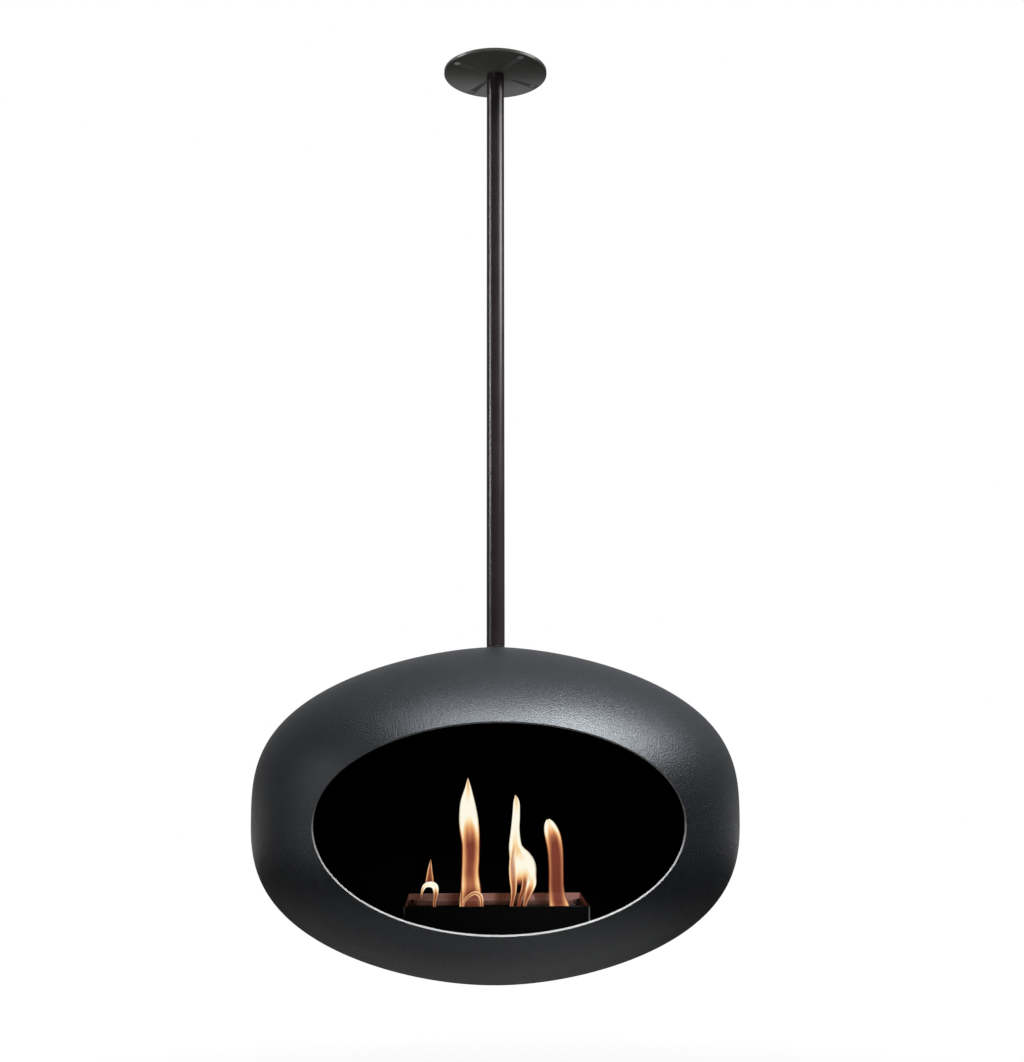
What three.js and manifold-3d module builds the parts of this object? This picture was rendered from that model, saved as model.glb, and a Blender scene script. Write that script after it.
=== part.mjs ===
// Hanging fireplace: a spun steel dome with an elliptical mouth, hung from a ceiling
// plate on a tube, and holding a drop-in burner that burns liquid fuel.
// Millimetres, +Z up, the mouth faces -Y. The origin is the centre of the ceiling
// plate's upper face, so the whole fireplace hangs below it.

import * as THREE from "three";
import { mergeVertices } from "three/addons/utils/BufferGeometryUtils.js";
import Module from "manifold-3d";

// ---------------------------------------------------------------- driving sizes

const SEAT = 0.3; // gap left between two pieces that rest on each other
const FINE_TURN = 56; // facets round the dome
const TURN = 24; // facets round the tube and its fittings
const SMALL_TURN = 12; // facets round screws
const CORNER_STEPS = 2; // pairs of facets round a quarter turn of a folded corner
const SLOT_END_STEPS = 3; // the same, round the end of the flame slot

// Dome: a body of revolution, |r/R|^a + |z/H|^b = 1
const DOME_RADIUS = 350;
const DOME_HALF_HEIGHT = 238;
const CROWN_POWER = 1.614; // how fast the crown falls away
const SIDE_POWER = 2.767; // how upright the side stands
const DOME_SHEET = 3;
const PROFILE_STEPS = 11; // rings from the equator to a pole
const SEAM_GAP = SEAT; // weld gap between the two spun shells

// Mouth: an ellipse as seen from the front, cut square to the sheet
const MOUTH_HALF_WIDTH = 238;
const MOUTH_HALF_HEIGHT = 130;
const MOUTH_STEPS = 64;
const MOUTH_CUT_REACH = 20; // how far the cutter stands off the sheet, each way

// Ceiling plate and its wood screws
const PLATE_RADIUS = 80;
const PLATE_THICKNESS = 5;
const PLATE_EDGE_BREAK = 0.8;
const PLATE_SCREW_COUNT = 4;
const PLATE_SCREW_INSET = 10; // from the plate's edge
const PLATE_SCREW_FIRST_ANGLE = THREE.MathUtils.degToRad(32);
const WOOD_SCREW_RADIUS = 2.4;
const WOOD_SCREW_HEAD_RADIUS = 4.6;
const WOOD_SCREW_HEAD_DEPTH = 2.6;
const SCREW_RECESS_ARM = 2.4; // half the span of the cross recess
const SCREW_RECESS_WIDTH = 0.9;
const SCREW_RECESS_DEPTH = 1.4;

// Hanging tube and what is inside its ends
const ROD_RADIUS = 13.45;
const ROD_WALL = 2.6;
const ROD_LENGTH = 890;
const ROD_END_BREAK = 0.6;
const SPIGOT_LENGTH = 48;
const SET_SCREW_RADIUS = 3;
const SET_SCREW_LENGTH = 6;
const SET_SCREW_DROPS = [14, 34]; // below the plate
const SET_SCREW_SOCKET_FLATS = 3;
const FOOT_PLUG_LENGTH = 40;
const LOCK_PIN_RADIUS = 2;
const LOCK_PIN_WALL = 0.6;
const LOCK_PIN_SLOT = 0.8;
const LOCK_PIN_RISE = 18; // above the rod's foot

// Swivel: the dome turns on a bolt that hangs from the tube's foot plug
const PLUG_WALL = 2.25; // what the bolt's thread leaves of the foot plug
const BOLT_HEAD_SHARE = 1.5; // across the head's flats, as a share of the bolt's diameter
const BOLT_HEAD_HEIGHT = 10;
const BOLT_REACH = 34; // into the foot plug
const CROWN_WASHER_THICKNESS = 1.5;
const BUSH_WALL = 3.8;
const BUSH_RUNNING_GAP = 0.2;
const BUSH_FLANGE_WIDTH = 5;
const BUSH_FLANGE_THICKNESS = 3;
const THRUST_WASHER_THICKNESS = 2;
const LOAD_WASHER_MARGIN = 2; // past the bush's flange
const LOAD_WASHER_THICKNESS = 4;
const HUB_RADIUS = 70;
const HUB_BOSS_MARGIN = 9; // past the bush's flange
const HUB_BOSS_THICKNESS = 8;
const HUB_WEB_THICKNESS = 4;

// Burner housing: a folded box that stands on a cradle in the bottom of the dome
const HOUSING_WIDTH = 260;
const HOUSING_DEPTH = 150;
const HOUSING_HEIGHT = 80.5;
const HOUSING_FLOOR_GAP = 5.5; // under the housing's corners, to the dome's floor
const HOUSING_SHEET = 2;
const HOUSING_CORNER = 4;
const HOUSING_FOOT_FLANGE = 20; // inward flange under the walls
const RECESS_DEPTH = 11; // from the housing's rim down to the burner's top plate
const LEDGE_WIDTH = 8;
const CRADLE_SHEET = 3;
const CRADLE_MARGIN = 6; // how far the housing stands out past the cradle plate, in X
const CRADLE_MARGIN_DEPTH = 15; // the same, in Y
const CRADLE_CORNER = 10;
const RIB_INSET = 12; // from the cradle plate's edges
const RIB_HOLE_RADIUS = 6;
const RIB_HOLE_PITCH = 44;
const HOUSING_SCREW_RADIUS = 2.5;
const HOUSING_SCREW_HEAD_RADIUS = 4.5;
const HOUSING_SCREW_HEAD_HEIGHT = 2.8;
const HOUSING_SCREW_INSET_X = 18; // from the housing's outer faces
const HOUSING_SCREW_INSET_Y = 30;

// Burner insert: tank, wool, screen and slotted top plate
const TANK_CLEARANCE = 4; // between the tank's side and the housing's ledge
const TANK_SHEET = 1.5;
const TANK_FLOOR_GAP = 5; // over the heads of the housing's screws
const TANK_CORNER = 12;
const TANK_FLANGE_CLEARANCE = 2; // between the flange and the housing's wall
const TOP_PLATE_SHEET = 2;
const TOP_PLATE_CLEARANCE = 0.6;
const SLOT_END_MARGIN = 2.5; // from the slot's ends to the tank's ends
const SLOT_HALF_WIDTH = 16;
const SLOT_CENTRE_Y = -12;
const COLLAR_WALL = 1.2;
const COLLAR_DEPTH = 12;
const SCREEN_DROP = 8; // from the collar down to the screen
const SCREEN_SHEET = 1.2;
const SCREEN_HOLE_RADIUS = 4.5;
const SCREEN_HOLE_PITCH = 20;
const SCREEN_HOLE_ROWS = 3;

// Sliding lid that closes the flame slot, and its rails
const LID_SHEET = 2;
const LID_OVERLAP_X = 5; // past the slot's ends
const LID_OVERLAP_Y = 4; // past the slot's sides
const LID_PARK_GAP = 2; // between the open lid and the slot
const LID_HOOK_HOLE_RADIUS = 5;
const LID_HOOK_HOLE_INSET = 22; // from the lid's right end
const RAIL_LIP = 2; // how far a rail reaches over the lid
const RAIL_LIP_THICKNESS = 1.5;
const RAIL_LID_CLEARANCE = 0.5;
const RAIL_END_MARGIN = 6; // past the lid's travel
const RAIL_SCREW_RADIUS = 1.5;
const RAIL_SCREW_HEAD_RADIUS = 2.7;
const RAIL_SCREW_HEAD_HEIGHT = 1.6;
const RAIL_SCREW_END_INSET = 12;

// ---------------------------------------------------------------- worked-out sizes

const BORE_RADIUS = ROD_RADIUS - ROD_WALL;
const INSERT_RADIUS = BORE_RADIUS - SEAT; // what slides into the tube's bore
const BOLT_RADIUS = INSERT_RADIUS - PLUG_WALL - SEAT;
const BOLT_HEAD_FLATS = 2 * BOLT_RADIUS * BOLT_HEAD_SHARE;
const BUSH_BORE_RADIUS = BOLT_RADIUS + BUSH_RUNNING_GAP;
const BUSH_RADIUS = BUSH_BORE_RADIUS + BUSH_WALL;
const BUSH_FLANGE_RADIUS = BUSH_RADIUS + BUSH_FLANGE_WIDTH;
const LOAD_WASHER_RADIUS = BUSH_FLANGE_RADIUS + LOAD_WASHER_MARGIN;
const HUB_BOSS_RADIUS = BUSH_FLANGE_RADIUS + HUB_BOSS_MARGIN;
const HUB_BORE_RADIUS = BUSH_RADIUS + SEAT;

const ROD_TOP = -PLATE_THICKNESS - SEAT;
const ROD_FOOT = ROD_TOP - ROD_LENGTH;
const CROWN_WASHER_TOP = ROD_FOOT - SEAT;
const DOME_TOP = CROWN_WASHER_TOP - CROWN_WASHER_THICKNESS - SEAT;
const DOME_CENTRE = DOME_TOP - DOME_HALF_HEIGHT;

// Heights in the dome's own frame, whose zero is the equator
const HUB_TOP = DOME_HALF_HEIGHT - DOME_SHEET - SEAT;
const HUB_UNDERSIDE = HUB_TOP - HUB_BOSS_THICKNESS;
const BUSH_FLANGE_TOP = HUB_UNDERSIDE - SEAT;
const THRUST_WASHER_TOP = BUSH_FLANGE_TOP - BUSH_FLANGE_THICKNESS - SEAT;
const LOAD_WASHER_TOP = THRUST_WASHER_TOP - THRUST_WASHER_THICKNESS - SEAT;
const BOLT_HEAD_TOP = LOAD_WASHER_TOP - LOAD_WASHER_THICKNESS - SEAT;

const HOUSING_HALF = new THREE.Vector2(HOUSING_WIDTH / 2, HOUSING_DEPTH / 2);
const FLOOR_UNDER_CORNER = DOME_SHEET - domeHeightAt(HOUSING_HALF.length());
const HOUSING_BOTTOM = FLOOR_UNDER_CORNER + HOUSING_FLOOR_GAP;
const HOUSING_TOP = HOUSING_BOTTOM + HOUSING_HEIGHT;
const CRADLE_TOP = HOUSING_BOTTOM - SEAT;
const RIB_TOP = CRADLE_TOP - CRADLE_SHEET - SEAT;
const HOUSING_INNER_HALF = HOUSING_HALF.clone().subScalar(HOUSING_SHEET);
const LEDGE_HALF = HOUSING_INNER_HALF.clone().subScalar(LEDGE_WIDTH);
const CRADLE_HALF = new THREE.Vector2(
  HOUSING_HALF.x - CRADLE_MARGIN,
  HOUSING_HALF.y - CRADLE_MARGIN_DEPTH,
);

const TOP_PLATE_TOP = HOUSING_TOP - RECESS_DEPTH;
const TANK_FLANGE_TOP = TOP_PLATE_TOP - TOP_PLATE_SHEET - SEAT;
const LEDGE_TOP = TANK_FLANGE_TOP - TANK_SHEET - SEAT;
const HOUSING_SCREW_TOP = HOUSING_BOTTOM + HOUSING_SHEET + SEAT + HOUSING_SCREW_HEAD_HEIGHT;
const TANK_BOTTOM = HOUSING_SCREW_TOP + TANK_FLOOR_GAP;
const TANK_HALF = LEDGE_HALF.clone().subScalar(TANK_CLEARANCE);
const TANK_INNER_HALF = TANK_HALF.clone().subScalar(TANK_SHEET);
const SLOT_HALF_LENGTH = TANK_INNER_HALF.x - SLOT_END_MARGIN;
const COLLAR_BOTTOM = TOP_PLATE_TOP - TOP_PLATE_SHEET - COLLAR_DEPTH;
const SCREEN_BOTTOM = COLLAR_BOTTOM - SCREEN_DROP;

const LID_BOTTOM = TOP_PLATE_TOP + SEAT;
const LID_HALF = new THREE.Vector2(
  SLOT_HALF_LENGTH + LID_OVERLAP_X,
  SLOT_HALF_WIDTH + LID_OVERLAP_Y,
);
const LID_OPEN_Y = SLOT_CENTRE_Y + SLOT_HALF_WIDTH + LID_PARK_GAP + LID_HALF.y;
const RAIL_FRONT_Y = SLOT_CENTRE_Y - LID_HALF.y - RAIL_END_MARGIN;
const RAIL_BACK_Y = LID_OPEN_Y + LID_HALF.y + RAIL_END_MARGIN;
const RAIL_LIP_BOTTOM = LID_BOTTOM + LID_SHEET + RAIL_LID_CLEARANCE;
const RAIL_TOP = RAIL_LIP_BOTTOM + RAIL_LIP_THICKNESS;

// ---------------------------------------------------------------- finishes

const finish = (color, roughness, metalness) => ({ color, roughness, metalness });
const POWDER_BLACK = finish(0x1d1f22, 0.55, 0.3);
const SATIN_BLACK = finish(0x2b2c28, 0.4, 0.4);
const TUBE_BLACK = finish(0x2a2526, 0.38, 0.4);
const ZINC_STEEL = finish(0x9a9c9e, 0.4, 0.9);
const RAW_STEEL = finish(0x55585c, 0.5, 0.8);
const STAINLESS = finish(0xa8abae, 0.3, 1);
const BRONZE = finish(0xa0743c, 0.4, 0.9);
const BLACK_NYLON = finish(0x101010, 0.7, 0);
const BURNER_BLACK = finish(0x0c0d0c, 0.35, 0.3);
const WOOL_WHITE = finish(0xe9e5dc, 0.95, 0);

// ---------------------------------------------------------------- solids

const wasm = await Module();
wasm.setup();

// A geometry as a solid that can be cut and joined.
function solidOf(geometry) {
  const bare = geometry.index ? geometry.toNonIndexed() : geometry.clone();
  bare.deleteAttribute("normal");
  bare.deleteAttribute("uv");
  const merged = mergeVertices(bare, 1e-4);
  const corners = merged.index.array;
  const kept = [];
  for (let i = 0; i < corners.length; i += 3) {
    const [a, b, c] = corners.slice(i, i + 3);
    if (a !== b && b !== c && c !== a) kept.push(a, b, c);
  }
  return new wasm.Manifold(
    new wasm.Mesh({
      numProp: 3,
      vertProperties: merged.attributes.position.array,
      triVerts: new Uint32Array(kept),
    }),
  );
}

function geometryOf(solid) {
  const mesh = solid.getMesh();
  const geometry = new THREE.BufferGeometry();
  geometry.setAttribute("position", new THREE.BufferAttribute(mesh.vertProperties, 3));
  geometry.setIndex(new THREE.BufferAttribute(mesh.triVerts, 1));
  geometry.computeVertexNormals();
  return geometry;
}

const join = (first, ...others) =>
  others.reduce((whole, other) => whole.add(solidOf(other)), solidOf(first));

// The blank geometry with every tool geometry cut out of it.
function cut(blank, ...tools) {
  const solid = blank.isBufferGeometry ? solidOf(blank) : blank;
  return geometryOf(tools.reduce((left, tool) => left.subtract(solidOf(tool)), solid));
}

const common = (one, other) => geometryOf(solidOf(one).intersect(solidOf(other)));

// Turns an outline of [radius, height] points about Z. An outline that leaves the axis
// at both ends is closed on the axis, and any other is closed on itself.
function revolve(outline, facets = TURN) {
  const points = outline.map(([radius, height]) => new THREE.Vector2(radius, height));
  const onAxis = points[0].x === 0 && points.at(-1).x === 0;
  if (THREE.ShapeUtils.area(points) < 0) points.reverse();
  if (!onAxis) points.push(points[0].clone());
  return new THREE.LatheGeometry(points, facets).rotateX(Math.PI / 2);
}

const disc = (radius, bottom, top, facets = TURN) =>
  revolve([[0, bottom], [radius, bottom], [radius, top], [0, top]], facets);

const washer = (bore, radius, bottom, top, facets = TURN) =>
  revolve([[bore, bottom], [radius, bottom], [radius, top], [bore, top]], facets);

// An outline in X and Y pulled up from one height to another.
const slab = (shape, bottom, top, arcSteps = CORNER_STEPS) =>
  new THREE.ExtrudeGeometry(shape, {
    depth: top - bottom,
    bevelEnabled: false,
    curveSegments: arcSteps,
  }).translate(0, 0, bottom);

function roundedRectangle(half, corner, centreY = 0) {
  const x = half.x - corner;
  const y = half.y - corner;
  const shape = new THREE.Shape();
  shape.absarc(x, centreY - y, corner, -Math.PI / 2, 0);
  shape.absarc(x, centreY + y, corner, 0, Math.PI / 2);
  shape.absarc(-x, centreY + y, corner, Math.PI / 2, Math.PI);
  shape.absarc(-x, centreY - y, corner, Math.PI, 1.5 * Math.PI);
  return shape;
}

// A slot with round ends.
const slotOutline = (halfLength, halfWidth, centreY) =>
  roundedRectangle(new THREE.Vector2(halfLength, halfWidth), halfWidth, centreY);

// A six-sided bar along Z, measured across its flats.
const hexagonBar = (flats, bottom, top) =>
  new THREE.CylinderGeometry(flats / Math.sqrt(3), flats / Math.sqrt(3), top - bottom, 6)
    .rotateX(Math.PI / 2)
    .translate(0, 0, (top + bottom) / 2);

function piece(name, geometry, look, x = 0, y = 0, z = 0) {
  const mesh = new THREE.Mesh(geometry, new THREE.MeshStandardMaterial(look));
  mesh.name = name;
  mesh.position.set(x, y, z);
  return mesh;
}

function assembly(...parts) {
  const group = new THREE.Group();
  group.add(...parts);
  return group;
}

// ---------------------------------------------------------------- dome

function domeHeightAt(radius) {
  const rest = 1 - (radius / DOME_RADIUS) ** CROWN_POWER;
  return DOME_HALF_HEIGHT * rest ** (1 / SIDE_POWER);
}

function domeRadiusAt(height) {
  const rest = 1 - (Math.abs(height) / DOME_HALF_HEIGHT) ** SIDE_POWER;
  return DOME_RADIUS * rest ** (1 / CROWN_POWER);
}

// The outward normal of the outline at a point of its upper half: x is radial, y is up.
function domeNormal(radius, height) {
  const radial = (CROWN_POWER / DOME_RADIUS) * (radius / DOME_RADIUS) ** (CROWN_POWER - 1);
  const axial =
    (SIDE_POWER / DOME_HALF_HEIGHT) * (height / DOME_HALF_HEIGHT) ** (SIDE_POWER - 1);
  return new THREE.Vector2(radial, axial).normalize();
}

// The upper half outline from the equator to the crown, sunk into the sheet by depth.
// The crown end stops at the edge of a hole, if there is one.
function domeArc(depth, crownHole = 0) {
  const points = [];
  for (let i = 0; i <= PROFILE_STEPS; i += 1) {
    const turn = (Math.PI / 2) * (i / PROFILE_STEPS);
    const inward = i < PROFILE_STEPS ? Math.cos(turn) : 0;
    const radius = DOME_RADIUS * inward ** (2 / CROWN_POWER);
    const height = DOME_HALF_HEIGHT * Math.sin(turn) ** (2 / SIDE_POWER);
    const normal = domeNormal(radius, height);
    points.push([radius - depth * normal.x, height - depth * normal.y]);
  }
  if (crownHole === 0) return points;
  const kept = points.filter(([radius]) => radius > crownHole);
  return [...kept, [crownHole, domeHeightAt(crownHole) - depth]];
}

// One spun shell, from the weld seam at the equator to the crown.
function spunShell(crownHole) {
  const outer = domeArc(0, crownHole);
  const inner = domeArc(DOME_SHEET, crownHole);
  outer[0][1] = SEAM_GAP / 2;
  inner[0][1] = SEAM_GAP / 2;
  return revolve([...inner.reverse(), ...outer], FINE_TURN);
}

// The space inside the dome, down to a seat's gap off the sheet.
function domeCavity() {
  const half = domeArc(DOME_SHEET + SEAT);
  const mirrored = half.map(([radius, height]) => [radius, -height]);
  return revolve([...mirrored.reverse(), ...half.slice(1)], FINE_TURN);
}

// The tool that cuts the mouth: a wall standing square on the dome along an ellipse,
// closed by a fan in front of the dome and a fan inside it.
function mouthCutter() {
  const positions = [];
  const corners = [];
  for (let i = 0; i < MOUTH_STEPS; i += 1) {
    const angle = (2 * Math.PI * i) / MOUTH_STEPS;
    const x = MOUTH_HALF_WIDTH * Math.cos(angle);
    const z = MOUTH_HALF_HEIGHT * Math.sin(angle);
    const radius = domeRadiusAt(z);
    const y = -Math.sqrt(radius ** 2 - x ** 2);
    const flat = domeNormal(radius, Math.abs(z));
    const normal = new THREE.Vector3(
      (flat.x * x) / radius,
      (flat.x * y) / radius,
      flat.y * Math.sign(z),
    );
    for (const side of [1, -1]) {
      const point = new THREE.Vector3(x, y, z).addScaledVector(normal, side * MOUTH_CUT_REACH);
      positions.push(...point.toArray());
    }
    const outer = 2 * i;
    const next = (outer + 2) % (2 * MOUTH_STEPS);
    const frontHub = 2 * MOUTH_STEPS;
    corners.push(outer, outer + 1, next, next, outer + 1, next + 1);
    corners.push(frontHub, outer, next, frontHub + 1, next + 1, outer + 1);
  }
  positions.push(0, -DOME_RADIUS - 2 * MOUTH_CUT_REACH, 0);
  positions.push(0, -DOME_RADIUS / 2, 0);
  const geometry = new THREE.BufferGeometry();
  geometry.setAttribute("position", new THREE.Float32BufferAttribute(positions, 3));
  geometry.setIndex(corners);
  return geometry;
}

// A dished plate welded under the crown, with a thick boss for the bush.
function hubPlate() {
  const web = (radius) =>
    domeHeightAt(radius) - DOME_SHEET - SEAT - HUB_WEB_THICKNESS;
  const blank = revolve(
    [
      [HUB_BORE_RADIUS, HUB_UNDERSIDE],
      [HUB_BOSS_RADIUS, HUB_UNDERSIDE],
      [HUB_BOSS_RADIUS + 2, web(HUB_BOSS_RADIUS + 2)],
      [HUB_RADIUS, web(HUB_RADIUS)],
      [HUB_RADIUS, DOME_HALF_HEIGHT],
      [HUB_BORE_RADIUS, DOME_HALF_HEIGHT],
    ],
    FINE_TURN,
  );
  return common(blank, domeCavity());
}

function domeShells() {
  const mouth = mouthCutter();
  const upper = spunShell(HUB_BORE_RADIUS);
  const lower = spunShell(0).rotateX(Math.PI);
  return assembly(
    piece("upper_shell", cut(upper, mouth), POWDER_BLACK),
    piece("lower_shell", cut(lower, mouth), POWDER_BLACK),
  );
}

function domeHub() {
  const bush = revolve([
    [BUSH_BORE_RADIUS, BUSH_FLANGE_TOP - BUSH_FLANGE_THICKNESS],
    [BUSH_FLANGE_RADIUS, BUSH_FLANGE_TOP - BUSH_FLANGE_THICKNESS],
    [BUSH_FLANGE_RADIUS, BUSH_FLANGE_TOP],
    [BUSH_RADIUS, BUSH_FLANGE_TOP],
    [BUSH_RADIUS, DOME_HALF_HEIGHT],
    [BUSH_BORE_RADIUS, DOME_HALF_HEIGHT],
  ]);
  const washerBottom = DOME_HALF_HEIGHT + SEAT;
  const crownWasher = washer(
    BUSH_BORE_RADIUS,
    ROD_RADIUS,
    washerBottom,
    washerBottom + CROWN_WASHER_THICKNESS,
  );
  return assembly(
    piece("hub_plate", hubPlate(), RAW_STEEL),
    piece("hub_bush", bush, BRONZE),
    piece("crown_washer", crownWasher, BLACK_NYLON),
  );
}

// ---------------------------------------------------------------- hanger

// A countersunk wood screw, head down, its point cut off level with the plate's top.
function woodScrew() {
  const shank = revolve(
    [
      [0, 0],
      [WOOD_SCREW_HEAD_RADIUS, 0],
      [WOOD_SCREW_HEAD_RADIUS, 0.4],
      [WOOD_SCREW_RADIUS, WOOD_SCREW_HEAD_DEPTH],
      [WOOD_SCREW_RADIUS, PLATE_THICKNESS - SEAT],
      [0, PLATE_THICKNESS - SEAT],
    ],
    SMALL_TURN,
  );
  const long = 2 * SCREW_RECESS_ARM;
  const deep = 2 * SCREW_RECESS_DEPTH;
  return cut(
    shank,
    new THREE.BoxGeometry(long, SCREW_RECESS_WIDTH, deep),
    new THREE.BoxGeometry(SCREW_RECESS_WIDTH, long, deep),
  );
}

function ceilingPlate() {
  const blank = revolve(
    [
      [0, -PLATE_THICKNESS],
      [PLATE_RADIUS - PLATE_EDGE_BREAK, -PLATE_THICKNESS],
      [PLATE_RADIUS, -PLATE_THICKNESS + PLATE_EDGE_BREAK],
      [PLATE_RADIUS, 0],
      [0, 0],
    ],
    2 * TURN,
  );
  const hole = revolve(
    [
      [0, -PLATE_THICKNESS - 1],
      [WOOD_SCREW_HEAD_RADIUS + SEAT, -PLATE_THICKNESS - 1],
      [WOOD_SCREW_HEAD_RADIUS + SEAT, -PLATE_THICKNESS + 0.4],
      [WOOD_SCREW_RADIUS + SEAT, -PLATE_THICKNESS + WOOD_SCREW_HEAD_DEPTH],
      [WOOD_SCREW_RADIUS + SEAT, 1],
      [0, 1],
    ],
    SMALL_TURN,
  );
  const holes = plateScrewPlaces().map(({ x, y }) => hole.clone().translate(x, y, 0));
  return cut(blank, ...holes);
}

function plateScrewPlaces() {
  return Array.from({ length: PLATE_SCREW_COUNT }, (_, i) => {
    const angle = PLATE_SCREW_FIRST_ANGLE + (2 * Math.PI * i) / PLATE_SCREW_COUNT;
    const reach = PLATE_RADIUS - PLATE_SCREW_INSET;
    return new THREE.Vector2(Math.cos(angle), Math.sin(angle)).multiplyScalar(reach);
  });
}

// The hole of one set screw, along +Y from a depth to past the tube's wall.
function setScrewHole(drop) {
  const bottom = ROD_RADIUS - SET_SCREW_LENGTH - 2 * SEAT;
  const length = ROD_RADIUS + 1 - bottom;
  const radius = SET_SCREW_RADIUS + SEAT;
  return new THREE.CylinderGeometry(radius, radius, length, SMALL_TURN).translate(
    0,
    bottom + length / 2,
    -PLATE_THICKNESS - drop,
  );
}

function hangingRod() {
  const tube = revolve([
    [BORE_RADIUS, ROD_FOOT],
    [ROD_RADIUS - ROD_END_BREAK, ROD_FOOT],
    [ROD_RADIUS, ROD_FOOT + ROD_END_BREAK],
    [ROD_RADIUS, ROD_TOP - ROD_END_BREAK],
    [ROD_RADIUS - ROD_END_BREAK, ROD_TOP],
    [BORE_RADIUS, ROD_TOP],
  ]);
  return cut(tube, ...SET_SCREW_DROPS.map(setScrewHole), lockPinHole());
}

function ceilingSpigot() {
  const end = ROD_TOP - SPIGOT_LENGTH;
  const turned = revolve([
    [0, end],
    [INSERT_RADIUS - 2, end],
    [INSERT_RADIUS, end + 2],
    [INSERT_RADIUS, ROD_TOP],
    [0, ROD_TOP],
  ]);
  return cut(turned, ...SET_SCREW_DROPS.map(setScrewHole));
}

// A grub screw that points at the tube's axis, its socket outwards.
function setScrew() {
  const body = revolve(
    [
      [0, 0],
      [SET_SCREW_RADIUS - 1, 0],
      [SET_SCREW_RADIUS, 1],
      [SET_SCREW_RADIUS, SET_SCREW_LENGTH],
      [0, SET_SCREW_LENGTH],
    ],
    SMALL_TURN,
  );
  const socket = hexagonBar(SET_SCREW_SOCKET_FLATS, SET_SCREW_LENGTH / 2, SET_SCREW_LENGTH + 1);
  return cut(body, socket).rotateX(-Math.PI / 2);
}

const lockPinHeight = ROD_FOOT + LOCK_PIN_RISE;

function lockPinHole() {
  const radius = LOCK_PIN_RADIUS + SEAT;
  const across = 2 * ROD_RADIUS + 2;
  return new THREE.CylinderGeometry(radius, radius, across, SMALL_TURN)
    .rotateZ(Math.PI / 2)
    .translate(0, 0, lockPinHeight);
}

// A slotted spring pin across the tube, which keeps the bolt from unscrewing.
function lockPin() {
  const inner = LOCK_PIN_RADIUS - LOCK_PIN_WALL;
  const half = ROD_RADIUS - 0.8;
  const sleeve = washer(inner, LOCK_PIN_RADIUS, -half, half, SMALL_TURN);
  const slot = new THREE.BoxGeometry(LOCK_PIN_SLOT, LOCK_PIN_RADIUS, 2 * half + 1);
  slot.translate(0, LOCK_PIN_RADIUS, 0);
  return cut(sleeve, slot).rotateY(Math.PI / 2);
}

function footPlug() {
  const top = ROD_FOOT + FOOT_PLUG_LENGTH;
  const boltEnd = ROD_FOOT + BOLT_REACH;
  const turned = revolve([
    [0, boltEnd + 2],
    [BOLT_RADIUS + SEAT, boltEnd + 1],
    [BOLT_RADIUS + SEAT, ROD_FOOT],
    [INSERT_RADIUS, ROD_FOOT],
    [INSERT_RADIUS, top - 1],
    [INSERT_RADIUS - 1, top],
    [0, top],
  ]);
  return cut(turned, lockPinHole());
}

function swivelBolt() {
  const headTop = DOME_CENTRE + BOLT_HEAD_TOP;
  const headBottom = headTop - BOLT_HEAD_HEIGHT;
  const corner = BOLT_HEAD_FLATS / Math.sqrt(3);
  const blank = revolve([
    [0, headBottom],
    [BOLT_HEAD_FLATS / 2 - 0.5, headBottom],
    [corner + 0.5, headBottom + 1.6],
    [corner + 0.5, headTop],
    [0, headTop],
  ]);
  const head = common(blank, hexagonBar(BOLT_HEAD_FLATS, headBottom - 1, headTop + 1));
  const shank = revolve([
    [0, headTop - 1],
    [BOLT_RADIUS, headTop - 1],
    [BOLT_RADIUS, ROD_FOOT + BOLT_REACH - 1.5],
    [BOLT_RADIUS - 1.5, ROD_FOOT + BOLT_REACH],
    [0, ROD_FOOT + BOLT_REACH],
  ]);
  return cut(join(head, shank), lockPinHole());
}

function hanger() {
  const screws = plateScrewPlaces().map(({ x, y }, i) =>
    piece(`ceiling_screw_${i + 1}`, woodScrew(), ZINC_STEEL, x, y, -PLATE_THICKNESS),
  );
  const setScrews = SET_SCREW_DROPS.map((drop, i) =>
    piece(
      `rod_set_screw_${i + 1}`,
      setScrew(),
      ZINC_STEEL,
      0,
      ROD_RADIUS - SET_SCREW_LENGTH - SEAT,
      -PLATE_THICKNESS - drop,
    ),
  );
  const bore = BOLT_RADIUS + SEAT;
  const thrustTop = DOME_CENTRE + THRUST_WASHER_TOP;
  const loadTop = DOME_CENTRE + LOAD_WASHER_TOP;
  const thrustWasher = washer(
    bore,
    BUSH_FLANGE_RADIUS,
    thrustTop - THRUST_WASHER_THICKNESS,
    thrustTop,
  );
  const loadWasher = washer(bore, LOAD_WASHER_RADIUS, loadTop - LOAD_WASHER_THICKNESS, loadTop);
  return assembly(
    piece("ceiling_plate", ceilingPlate(), SATIN_BLACK),
    piece("ceiling_spigot", ceilingSpigot(), RAW_STEEL),
    piece("hanging_rod", hangingRod(), TUBE_BLACK),
    piece("rod_foot_plug", footPlug(), RAW_STEEL),
    piece("lock_pin", lockPin(), ZINC_STEEL, 0, 0, lockPinHeight),
    piece("swivel_bolt", swivelBolt(), ZINC_STEEL),
    piece("thrust_washer", thrustWasher, BRONZE),
    piece("load_washer", loadWasher, ZINC_STEEL),
    ...screws,
    ...setScrews,
  );
}

// ---------------------------------------------------------------- burner housing

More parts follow.
